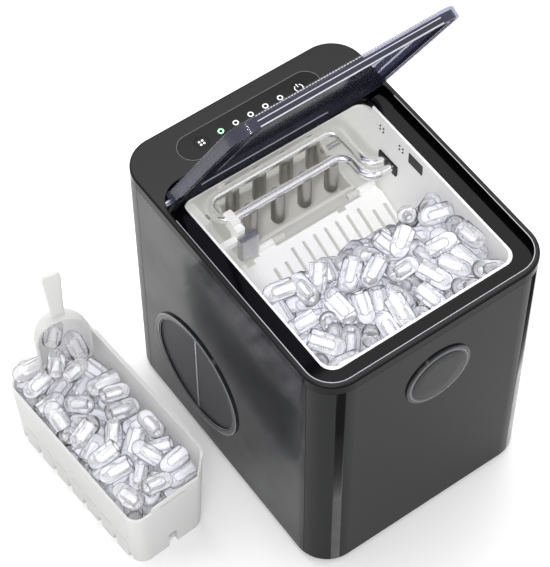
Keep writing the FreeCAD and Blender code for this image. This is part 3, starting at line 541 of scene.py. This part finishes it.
def drop_heap(name, walls, starts, seed, frames):
    """Drops one bullet per start point between the walls; returns the settled matrices."""
    chance = random.Random(seed)
    scene = bpy.context.scene
    if scene.rigidbody_world is None:
        bpy.ops.rigidbody.world_add()
    world = scene.rigidbody_world
    world.enabled = True
    world.substeps_per_frame = SIM_STEPS
    world.solver_iterations = SIM_STEPS
    world.point_cache.frame_start = 1
    world.point_cache.frame_end = frames + 1
    fixed = [passive(mesh, matrix) for mesh, matrix in walls]
    falling = []
    for k, start in enumerate(starts):
        piece = placed("sim_ice_%d" % k, bullets[k % len(bullets)])
        angles = [chance.uniform(0, 2 * math.pi) for _ in range(3)]
        piece.matrix_world = Matrix.Translation(start) @ Euler(angles).to_matrix().to_4x4()
        bpy.context.view_layer.objects.active = piece
        bpy.ops.rigidbody.object_add(type="ACTIVE")
        body = piece.rigid_body
        body.collision_shape = "CONVEX_HULL"
        body.mass = PIECE_KG
        body.friction = WET_FRICTION
        body.restitution = 0.02
        body.use_margin = True
        body.collision_margin = 0.0001
        body.linear_damping = 0.2
        body.angular_damping = 0.3
        falling.append(piece)
    for step in range(1, frames + 1):
        scene.frame_set(step)
    graph = bpy.context.evaluated_depsgraph_get()
    settled = []
    for piece in falling:
        settled.append((piece.data, piece.evaluated_get(graph).matrix_world.copy()))
    for thing in falling + fixed:
        bpy.data.objects.remove(thing)
    bpy.ops.rigidbody.world_remove()
    scene.frame_set(1)
    print(name, "dropped", len(settled))
    return settled


def heap_object(name, settled, body, keep_if):
    """Joins the settled bullets that pass keep_if into one piece."""
    bm = bmesh.new()
    kept = 0
    for mesh, matrix in settled:
        if not keep_if(matrix.translation):
            continue
        part = bmesh.new()
        part.from_mesh(mesh)
        part.transform(matrix)
        copy = bpy.data.meshes.new("joining")
        part.to_mesh(copy)
        bm.from_mesh(copy)
        bpy.data.meshes.remove(copy)
        part.free()
        kept += 1
    mesh = mesh_from(name, bm)
    mesh.materials.append(ice)
    piece = placed(name, mesh)
    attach(piece, body)
    print(name, "holds", kept, "faces", len(mesh.polygons))
    return piece


# %% [markdown]
# The bin's heap rests on the bin floor, climbs over the front of the pusher and leans on the walls. The
# unseen box has the bin's inner size, with a slanted board where the pusher is.

# %% Ice in the bin


def slanted_board(name, half_width, y0, z0, y1, z1, thick):
    bm = bmesh.new()
    run = Vector((0, y1 - y0, z1 - z0)).normalized()
    normal = Vector((0, -run.z, run.y)) * thick
    corners = []
    for x in (-half_width, half_width):
        for y, z in ((y0, z0), (y1, z1)):
            for drop in (0, 1):
                corners.append(bm.verts.new(Vector((x, y, z)) - normal * drop))
    bmesh.ops.convex_hull(bm, input=bm.verts)
    return mesh_from(name, bm)


def bin_walls():
    near = on_casing(-89.5, -118, 112)
    far = on_casing(89.5, 70, 330)
    t = 0.03
    walls = [
        wall_mesh("floor", (near.x - t, near.y - t, 0.204 - t), (far.x + t, casing_y - 0.012, 0.204)),
        wall_mesh("left", (near.x - t, near.y - t, near.z), (near.x, far.y + t, far.z)),
        wall_mesh("right", (far.x, near.y - t, near.z), (far.x + t, far.y + t, far.z)),
        wall_mesh("front", (near.x - t, near.y - t, near.z), (far.x + t, near.y, far.z)),
    ]
    shift = Matrix.Translation((casing_x, 0, 0))
    # The plate lies where the pusher's face is, and the slope keeps the ice off its upper half.
    plate_high = on_casing(0, 46, 189)
    plate_low = on_casing(0, -22, 159)
    plate = slanted_board("plate", 0.12, plate_low.y, plate_low.z, plate_high.y, plate_high.z, 0.02)
    toe = on_casing(0, 12, 170)
    crest = on_casing(0, -34, 300)
    slope = slanted_board("slope", 0.12, toe.y, toe.z, crest.y, crest.z, 0.02)
    return [(w, None) for w in walls] + [(plate, shift), (slope, shift)]


def bin_starts(count, seed):
    chance = random.Random(seed)
    starts = []
    for k in range(count):
        layer = k // 12
        cell = k % 12
        x = -75 + 30 * (cell % 6) + chance.uniform(-5, 5)
        y = -99 + 30 * (cell // 6) + chance.uniform(-4, 4)
        starts.append(on_casing(x, y, 232 + 26 * layer))
    return starts


def inside_bin(p):
    x, y, z = casing_mm(p)
    return abs(x) < 92 and -121 < y < 14 and z < 271


BIN_PIECES, BIN_FRAMES = 168, 110
bin_heap = drop_heap("bin heap", bin_walls(), bin_starts(BIN_PIECES, 11), 12, BIN_FRAMES)
heap_object("ice_in_bin", bin_heap, "machine", inside_bin)

# %% [markdown]
# The basket's unseen box stands just inside its walls and is turned with it. The box is taller than the
# basket, so the last pieces heap above the rim.

# %% Ice in the basket
basket_low, basket_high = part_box("ice_basket")
basket_mid = (basket_low + basket_high) / 2
basket_turn = math.radians(3.4)


def in_basket(x, y, z):
    """A point in the basket's own millimetres, its long side along y."""
    c, s = math.cos(basket_turn), math.sin(basket_turn)
    return Vector((basket_mid.x + (c * x - s * y) * MM, basket_mid.y + (s * x + c * y) * MM, z * MM))


def basket_walls():
    turn = Matrix.Translation((basket_mid.x, basket_mid.y, 0)) @ Matrix.Rotation(basket_turn, 4, "Z")
    t = 0.02
    half_w, half_l, reach, top = 0.0362, 0.087, 0.15, 0.3
    return [
        (wall_mesh("b_left", (-half_w - t, -reach, 0.0), (-half_w, reach, top)), turn),
        (wall_mesh("b_right", (half_w, -reach, 0.0), (half_w + t, reach, top)), turn),
        (wall_mesh("b_front", (-0.1, -half_l - t, 0.0), (0.1, -half_l, top)), turn),
        (wall_mesh("b_back", (-0.1, half_l, 0.0), (0.1, half_l + t, top)), turn),
        (wall_mesh("b_floor", (-0.1, -reach, -t), (0.1, reach, 0.030)), turn),
    ]


def basket_starts(count, seed):
    chance = random.Random(seed)
    starts = []
    for k in range(count):
        layer = k // 14
        cell = k % 14
        x = -17 + 34 * (cell % 2) + chance.uniform(-4, 4)
        y = -66 + 22 * (cell // 2) + chance.uniform(-3, 3)
        starts.append(in_basket(x, y, 60 + 27 * layer))
    return starts


BASKET_PIECES, BASKET_FRAMES = 98, 90
basket_heap = drop_heap("basket heap", basket_walls(), basket_starts(BASKET_PIECES, 5), 6, BASKET_FRAMES)
heap_object("ice_in_basket", basket_heap, "basket", lambda p: p.z < 0.125)

# %% [markdown]
# Four pieces lean in the scoop's open bowl. The scoop stands tilted 8 degrees and turned 14, so each piece
# is placed in the scoop's own millimetres, x across the bowl and z along it, and then turned the same way.

# %% Ice in the scoop
scoop_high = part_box("ice_scoop")[1]
scoop_frame = (Matrix.Translation(on_casing(-195.3, 112, 157.9)) @ Matrix.Rotation(math.radians(-14), 4, "Z")
               @ Matrix.Rotation(math.radians(-8), 4, "X"))
in_bowl = []
for k, (x, y, z, lean, turn_in) in enumerate(((-5, 12, -27, 14, 4), (10, 4, -41, -12, 0),
                                              (-9, 2, -53, 10, 0), (5, -9, -57, 34, 18))):
    leaning = Euler((math.radians(turn_in), math.radians(lean), 0)).to_matrix().to_4x4()
    in_bowl.append((bullets[k], scoop_frame @ Matrix.Translation(Vector((x, y, z)) * MM) @ leaning))
heap_object("ice_in_scoop", in_bowl, "scoop", lambda p: p.z < scoop_high.z)

# %% [markdown]
# ## Vent mesh
# Behind the round bezel sits a fine woven mesh that stops a finger. Real wire mesh this fine has a pitch
# near 1.5 mm, and here it is drawn at 2.6 mm so that it still shows. Two sets of thin square wires cross
# on the diagonals, one set raised over the other, clipped to a circle.

# %% Vent mesh


def square_bar(bm, start, end, half, depth_dir, half_depth):
    run = (end - start).normalized()
    side = run.cross(depth_dir).normalized() * half
    deep = depth_dir.normalized() * half_depth
    rings = []
    for p in (start, end):
        rings.append([bm.verts.new(p + side + deep), bm.verts.new(p - side + deep),
                      bm.verts.new(p - side - deep), bm.verts.new(p + side - deep)])
    for i in range(4):
        j = (i + 1) % 4
        bm.faces.new((rings[0][i], rings[0][j], rings[1][j], rings[1][i]))
    bm.faces.new(rings[0][::-1])
    bm.faces.new(rings[1])


def finished_mesh(name, bm, material, body, node=None, smooth=False):
    """Turns a bmesh into a piece that rides a body and may stand in for a CAD node."""
    bmesh.ops.recalc_face_normals(bm, faces=bm.faces)
    for face in bm.faces:
        face.smooth = smooth
    mesh = mesh_from(name, bm)
    mesh.materials.append(material)
    piece = placed(name, mesh)
    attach(piece, body)
    if node:
        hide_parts(node)
    print(name, "faces", len(mesh.polygons))
    return piece


def bead(bm, points, half_width, half_height, up_axis, closed=False):
    """A thin bar with a flattened six-sided section, bent along a line of points."""
    count = len(points)
    rings = []
    for i, p in enumerate(points):
        before = points[i - 1] if closed or i else p
        after = points[(i + 1) % count] if closed or i < count - 1 else p
        run = (after - before).normalized()
        side = run.cross(up_axis).normalized() * half_width
        lift = side.cross(run).normalized() * half_height
        rings.append([bm.verts.new(p + side), bm.verts.new(p + side * 0.5 + lift),
                      bm.verts.new(p - side * 0.5 + lift), bm.verts.new(p - side),
                      bm.verts.new(p - side * 0.5 - lift), bm.verts.new(p + side * 0.5 - lift)])
    for i in range(count if closed else count - 1):
        here, after = rings[i], rings[(i + 1) % count]
        for k in range(6):
            j = (k + 1) % 6
            bm.faces.new((here[k], here[j], after[j], after[k]))
    if not closed:
        bm.faces.new(rings[0][::-1])
        bm.faces.new(rings[-1])


def arc_points(centre, axis_a, axis_b, radius, start, end, steps):
    """Points on a circle; the angle runs from axis_a towards axis_b, in degrees."""
    points = []
    for i in range(steps + 1):
        a = math.radians(start + (end - start) * i / steps)
        points.append(centre + (axis_a * math.cos(a) + axis_b * math.sin(a)) * radius)
    return points


vent_low, vent_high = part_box("side_vent_grille")
vent_mid = (vent_low + vent_high) / 2
vent_radius = (vent_high.z - vent_low.z) / 2


def vent_mesh():
    bm = bmesh.new()
    pitch = 2.6 * MM
    outward = Vector((-1, 0, 0))
    for direction, lift in ((1, 0.25 * MM), (-1, -0.25 * MM)):
        along = Vector((0, 1, direction)).normalized()
        across = Vector((0, -direction, 1)).normalized()
        count = int(vent_radius / pitch)
        for i in range(-count, count + 1):
            offset = i * pitch
            half = math.sqrt(max(vent_radius ** 2 - offset ** 2, 0)) * 0.998
            if half < 2 * MM:
                continue
            middle = vent_mid + across * offset + outward * lift
            square_bar(bm, middle - along * half, middle + along * half, 0.48 * MM, outward, 0.3 * MM)
    return bm


wire_black = moulded_plastic("wire_black", "#4A4A4E", 0.35, 0.8, 0.01)
finished_mesh("vent_mesh", vent_mesh(), wire_black, "machine", "side_vent_grille")
# The bezel's polished chamfer and the mesh's own thin rim each get a painted highlight line, a light grey
# bead.
painted_highlight = moulded_plastic("painted_highlight", "#B9B9BF", 0.16, 4.0, 0.004, mottle=0.03)
painted_soft_highlight = moulded_plastic("painted_soft_highlight", "#77777C", 0.16, 4.0, 0.004, mottle=0.03)
bezel_low, bezel_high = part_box("side_vent_ring")
bezel_radius = (bezel_high.z - bezel_low.z) / 2


def vent_lines():
    bm = bmesh.new()
    face = Vector((bezel_low.x, vent_mid.y, vent_mid.z))
    for radius, half, inset in ((bezel_radius - 0.9 * MM, 0.55 * MM, 0.0),
                                (vent_radius - 0.6 * MM, 0.35 * MM, 0.6 * MM)):
        centre = face - OUT_LEFT * inset
        bead(bm, arc_points(centre, Y_AXIS, Z_AXIS, radius, 0, 357, 119), half, 0.35 * MM, OUT_LEFT, True)
    return bm


def vent_rib():
    """The moulded rib behind the mesh, a shallow zig-zag from top to bottom, drawn in painted highlight
    grey.
    """
    bm = bmesh.new()
    count = 36
    points = []
    for i in range(count + 1):
        z = vent_mid.z + vent_radius * 0.97 * (2 * i / count - 1)
        y = vent_mid.y + (0.7 if i % 2 else -0.7) * MM
        points.append(Vector((vent_low.x - 0.2 * MM, y, z)))
    bead(bm, points, 0.55 * MM, 0.3 * MM, OUT_LEFT)
    return bm


finished_mesh("vent_bright_lines", vent_lines(), painted_soft_highlight, "machine")
finished_mesh("vent_rib", vent_rib(), painted_highlight, "machine")

# %% [markdown]
# ## Printed marks
# The two keys carry white printed marks: a plain power sign and four dots for the menu. The lights are
# small rings of clear plastic over LEDs, the first one lit green. Each mark is a thin raised ring, disc or
# bar, a tenth of a millimetre thick, so that it is real geometry.

# %% Printed marks


def glowing(name, hex_code, strength, hex_base):
    m = new_material(name)
    place = add_node(m, "ShaderNodeTexCoord").outputs["Object"]
    spread = add_node(m, "ShaderNodeTexNoise", {"Scale": 1000 / 2.0}, {"Vector": place})
    amount = add_node(m, "ShaderNodeMapRange", {"To Min": strength * 0.9, "To Max": strength * 1.1},
                      {"Value": spread.outputs["Fac"]})
    shader = add_node(m, "ShaderNodeBsdfPrincipled",
                      {"Base Color": linear(hex_base), "Roughness": 0.4,
                       "Emission Color": linear(hex_code)},
                      {"Emission Strength": amount.outputs["Result"]})
    return finish_with(m, shader.outputs["BSDF"])


# The white print and the four unlit rings get a faint painted glow; only the green ring is a lit LED.
white_print_glow = glowing("white_print_glow", "#FFFFFF", 0.35, "#E8E8E8")
led_green = glowing("led_green", "#6CFF8A", 1.2, "#BFE8C6")
led_idle_glow = glowing("led_idle_glow", "#FFFFFF", 0.25, "#D5D8D4")


def ring_band(bm, centre, outer, inner, height, start=0.0, sweep=360.0, steps=28):
    full = sweep >= 359.9
    count = steps if full else steps + 1
    rows = []
    for i in range(count):
        a = math.radians(start + sweep * i / steps)
        d = Vector((math.cos(a), math.sin(a), 0))
        lift = Vector((0, 0, height))
        rows.append([bm.verts.new(centre + d * inner), bm.verts.new(centre + d * outer),
                     bm.verts.new(centre + d * outer + lift), bm.verts.new(centre + d * inner + lift)])
    turns = count if full else count - 1
    for i in range(turns):
        here, after = rows[i], rows[(i + 1) % count]
        for k in range(4):
            j = (k + 1) % 4
            bm.faces.new((here[k], here[j], after[j], after[k]))
    if not full:
        bm.faces.new(rows[0])
        bm.faces.new(rows[-1][::-1])


def disc(bm, centre, radius, height, steps=18):
    lower, upper = [], []
    for i in range(steps):
        a = 2 * math.pi * i / steps
        d = Vector((math.cos(a), math.sin(a), 0)) * radius
        lower.append(bm.verts.new(centre + d))
        upper.append(bm.verts.new(centre + d * 0.92 + Vector((0, 0, height))))
    bm.faces.new(lower[::-1])
    bm.faces.new(upper)
    for i in range(steps):
        j = (i + 1) % steps
        bm.faces.new((lower[i], lower[j], upper[j], upper[i]))


key_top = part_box("power_button")[1].z
panel_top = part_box("control_panel")[1].z


def middle_of(name):
    low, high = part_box(name)
    return (low + high) / 2


def power_mark():
    bm = bmesh.new()
    c = middle_of("power_button")
    centre = Vector((c.x, c.y, key_top - 0.02 * MM))
    ring_band(bm, centre, 3.9 * MM, 3.2 * MM, 0.12 * MM, start=122, sweep=296)
    square_bar(bm, centre + Vector((0, 1.0 * MM, 0.05 * MM)), centre + Vector((0, 4.6 * MM, 0.05 * MM)),
               0.36 * MM, Vector((0, 0, 1)), 0.06 * MM)
    return bm


def menu_mark():
    bm = bmesh.new()
    c = middle_of("mode_button")
    for dx in (-1.5, 1.5):
        for dy in (-1.5, 1.5):
            disc(bm, Vector((c.x + dx * MM, c.y + dy * MM, key_top - 0.02 * MM)), 1.05 * MM, 0.12 * MM)
    return bm


finished_mesh("power_mark", power_mark(), white_print_glow, "power_key")
finished_mesh("menu_mark", menu_mark(), white_print_glow, "mode_key")

led_low, led_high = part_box("led_rings")
led_y = (led_low.y + led_high.y) / 2
led_pitch = (led_high.x - led_low.x - 5.4 * MM) / 4


def led_bm(indices):
    bm = bmesh.new()
    for i in indices:
        centre = Vector((led_low.x + 2.7 * MM + led_pitch * i, led_y, panel_top))
        ring_band(bm, centre, 2.6 * MM, 1.55 * MM, 0.3 * MM)
    return bm


finished_mesh("led_lit", led_bm([0]), led_green, "machine", "led_rings")
finished_mesh("led_unlit", led_bm([1, 2, 3, 4]), led_idle_glow, "machine", "led_rings")

# %% [markdown]
# ## Front trim
# Two glossy black stripes on the front's rounded corners paint a dark band down each, and a satin disc with
# a painted highlight ring sits in the badge. The stripes follow the corner's own radius, a tenth of a
# millimetre proud.

# %% Front trim
HALF_WIDTH_MM, HALF_DEPTH_MM, CORNER_MM = 112, 141, 30.0
front_low, front_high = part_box("front_panel")


def corner_stripe(side):
    """side is -1 for the left corner and 1 for the right one."""
    bm = bmesh.new()
    low_z, high_z = front_low.z + 0.5 * MM, front_high.z - 0.5 * MM
    columns = []
    for i in range(9):
        a = math.radians(15.5 + 14.5 * i / 8)
        out = Vector((side * math.sin(a), -math.cos(a), 0))
        centre = on_casing(side * (HALF_WIDTH_MM - CORNER_MM), CORNER_MM - HALF_DEPTH_MM, 0)
        for radius in (CORNER_MM - 0.4, CORNER_MM + 0.12):
            for z in (low_z, high_z):
                columns.append(bm.verts.new(centre + out * radius * MM + Vector((0, 0, z))))
    for i in range(8):
        here, after = columns[4 * i:4 * i + 4], columns[4 * i + 4:4 * i + 8]
        for a, b in ((0, 1), (1, 3), (3, 2), (2, 0)):
            bm.faces.new((here[a], here[b], after[b], after[a]))
    bm.faces.new([columns[k] for k in (0, 1, 3, 2)])
    bm.faces.new([columns[32 + k] for k in (0, 2, 3, 1)])
    return bm


finished_mesh("left_stripe", corner_stripe(-1), polished_black, "machine", smooth=True)
finished_mesh("right_stripe", corner_stripe(1), polished_black, "machine", smooth=True)

badge_low, badge_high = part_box("front_badge")
badge_mid = (badge_low + badge_high) / 2
badge_radius = (badge_high.z - badge_low.z) / 2


def badge_face():
    bm = bmesh.new()
    face = Vector((badge_mid.x, badge_low.y, badge_mid.z))
    rows = []
    for radius, proud in ((0.0, 0.45), (0.5, 0.45), (0.80, 0.4), (0.84, 0.05), (0.84, -0.1)):
        ring_radius = max(badge_radius * radius, 0.1 * MM)
        rows.append([bm.verts.new(p - Y_AXIS * proud * MM)
                     for p in arc_points(face, X_AXIS, Z_AXIS, ring_radius, 0, 354, 59)])
    for upper, lower in zip(rows, rows[1:]):
        for i in range(60):
            j = (i + 1) % 60
            bm.faces.new((upper[i], upper[j], lower[j], lower[i]))
    bm.faces.new(rows[0])
    bm.faces.new(rows[-1][::-1])
    return bm


def badge_highlight_ring():
    bm = bmesh.new()
    face = Vector((badge_mid.x, badge_low.y, badge_mid.z))
    bead(bm, arc_points(face, X_AXIS, Z_AXIS, badge_radius * 0.9, 0, 357, 119), 0.4 * MM, 0.3 * MM,
         Y_AXIS, True)
    return bm


# The ring round the badge is a painted highlight.
finished_mesh("badge_face", badge_face(), badge_abs, "machine", smooth=True)
finished_mesh("badge_highlight_ring", badge_highlight_ring(), painted_soft_highlight, "machine", smooth=True)

# %% [markdown]
# ## Lines round the top
# The cover has two polished edges, each with a thin light grey bead that paints its highlight line: the
# inner rim of the outer band and the edge of the control strip.

# %% Lines round the top


def rim_line():
    """Round the sides and the front only: behind them the open lid swings down past the rim."""
    level = 284.75
    points = [on_casing(-107.5, 60, level)]
    points += arc_points(on_casing(-83.5, -112, level), -X_AXIS, -Y_AXIS, 24 * MM, 0, 90, 8)
    points += arc_points(on_casing(83.5, -112, level), -Y_AXIS, X_AXIS, 24 * MM, 0, 90, 8)
    points.append(on_casing(107.5, 60, level))
    bm = bmesh.new()
    bead(bm, points, 0.42 * MM, 0.3 * MM, Z_AXIS)
    return bm


def strip_edge():
    """A line round the control strip, a stadium with 13.2 mm ends."""
    half_x, strip_y, level, end_radius = 55.6, 112, 285.0, 13.3 * MM
    points = arc_points(on_casing(half_x, strip_y, level), -Y_AXIS, X_AXIS, end_radius, 0, 180, 16)
    points += arc_points(on_casing(-half_x, strip_y, level), Y_AXIS, -X_AXIS, end_radius, 0, 180, 16)
    bm = bmesh.new()
    bead(bm, points, 0.25 * MM, 0.15 * MM, Z_AXIS, True)
    return bm


finished_mesh("rim_line", rim_line(), painted_highlight, "machine", smooth=True)
finished_mesh("strip_edge", strip_edge(), painted_soft_highlight, "machine", smooth=True)

# %% [markdown]
# ## Lines in the lid
# The lid is one clear shell with a frame glued inside. Its free edge gets painted highlights: a row of short
# bright dashes drawn as fine ribs, a line where the frame meets the shell, and a second line along the
# skirt.
# They are modelled on the closed lid and then turned open about the hinge line with it.

# %% Lines in the lid
LID_OPEN = math.radians(-62.5)
hinge_line = on_casing(0, 80, 281)


def opened_lid(bm):
    swing = (Matrix.Translation(hinge_line) @ Matrix.Rotation(LID_OPEN, 4, "X")
             @ Matrix.Translation(-hinge_line))
    bmesh.ops.transform(bm, matrix=swing, verts=bm.verts)
    return bm


def lid_line(y, z, half_x, half_width):
    bm = bmesh.new()
    bead(bm, [on_casing(-half_x, y, z), on_casing(0, y, z), on_casing(half_x, y, z)],
         half_width * MM, 0.25 * MM, Y_AXIS)
    return opened_lid(bm)


def lid_highlight_dashes():
    bm = bmesh.new()
    for i in range(-31, 32):
        x = i * 2.6
        square_bar(bm, on_casing(x - 0.8, -133.2, 286.4), on_casing(x + 0.8, -133.2, 286.4),
                   0.35 * MM, Y_AXIS, 0.3 * MM)
    return opened_lid(bm)


def hinge_highlight_line():
    """A painted highlight line along the hinge side of the lid's frame, drawn as a raised bead; its two ends
    turn to the rear.
    """
    left = arc_points(on_casing(-66, 76.5, 280.3), -Y_AXIS, -X_AXIS, 5 * MM, 90, 0, 6)
    right_end = arc_points(on_casing(48, 76.5, 280.3), -Y_AXIS, X_AXIS, 5 * MM, 0, 90, 6)
    bm = bmesh.new()
    bead(bm, left + right_end, 0.6 * MM, 0.4 * MM, Z_AXIS)
    return opened_lid(bm)


finished_mesh("hinge_highlight_line", hinge_highlight_line(), painted_highlight, "lid", smooth=True)
finished_mesh("lid_highlight_dashes", lid_highlight_dashes(), painted_highlight, "lid")
finished_mesh("lid_upper_line", lid_line(-133.3, 282.5, 82, 0.4), painted_highlight, "lid")
finished_mesh("lid_lower_line", lid_line(-133.3, 278.0, 82, 0.5), painted_highlight, "lid")

# %% [markdown]
# ## Soft edges
# A moulded part never has a knife edge: the mould's corner leaves a radius near 0.4 mm that catches a thin
# line of light. A small bevel modifier on the casing solids puts that line back, without changing the
# solids themselves.

# %% Soft edges
for name, width in (("lid_shell", 0.35), ("lid_inner_frame", 0.3), ("ice_pusher", 0.4),
                    ("water_tray", 0.3), ("inner_liner", 0.3), ("ice_basket", 0.4),
                    ("evaporator_bracket", 0.5), ("splash_guard", 0.5)):
    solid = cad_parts[name]
    edge = solid.modifiers.new("moulded_edge", "BEVEL")
    edge.width = width * MM
    edge.segments = 2
    edge.limit_method = "ANGLE"
    edge.angle_limit = math.radians(40)
print("edges softened")

# %% [markdown]
# ## Studio
# The machine stands on a white sweep. A big soft light overhead, a weaker one from the front left, a soft
# round beam into the bin and a white sky give the pale wrap of a product picture. The glossy walls mirror
# the white floor, and that is what makes them read as dark grey and not black.

# %% Studio
floor_paper = moulded_plastic("floor_paper", "#FAFAFA", 0.9, 3.0, 0.001, mottle=0.0, painted_glow=0.16)
bm = bmesh.new()
bmesh.ops.create_grid(bm, x_segments=2, y_segments=2, size=6.0)
floor_mesh = mesh_from("floor", bm)
floor_mesh.materials.append(floor_paper)
floor = placed("floor", floor_mesh)

world = bpy.data.worlds.new("studio_sky")
bpy.context.scene.world = world
world.use_nodes = True
sky = world.node_tree.nodes["Background"]
sky.inputs["Color"].default_value = (1.0, 1.0, 1.0, 1.0)
sky.inputs["Strength"].default_value = 0.9


def lamp_at(name, kind, spot, target, watts):
    """Places a light that looks at its target, and returns the light's own settings."""
    data = bpy.data.lights.new(name, kind)
    data.energy = watts
    lamp = placed(name, data)
    lamp.location = spot
    lamp.rotation_euler = (Vector(target) - Vector(spot)).to_track_quat("-Z", "Y").to_euler()
    return data


middle = on_casing(0, 0, 250)
overhead = lamp_at("overhead", "AREA", (middle.x + 0.3, middle.y + 0.6, 1.9), middle, 22)
overhead.shape = "RECTANGLE"
overhead.size, overhead.size_y = 1.6, 1.2
front_left = lamp_at("front_left", "AREA", (middle.x - 1.5, middle.y - 1.2, 1.4), middle, 8)
front_left.shape = "RECTANGLE"
front_left.size, front_left.size_y = 0.9, 0.9
# The soft round beam is just wide enough for the bin's mouth.
bin_light = lamp_at("bin_light", "SPOT", on_casing(-520, -560, 1380), on_casing(0, -8, 250), 50)
bin_light.spot_size = math.radians(11.5)
bin_light.spot_blend = 0.5
bin_light.shadow_soft_size = 0.16
bpy.context.scene.view_settings.view_transform = "Standard"
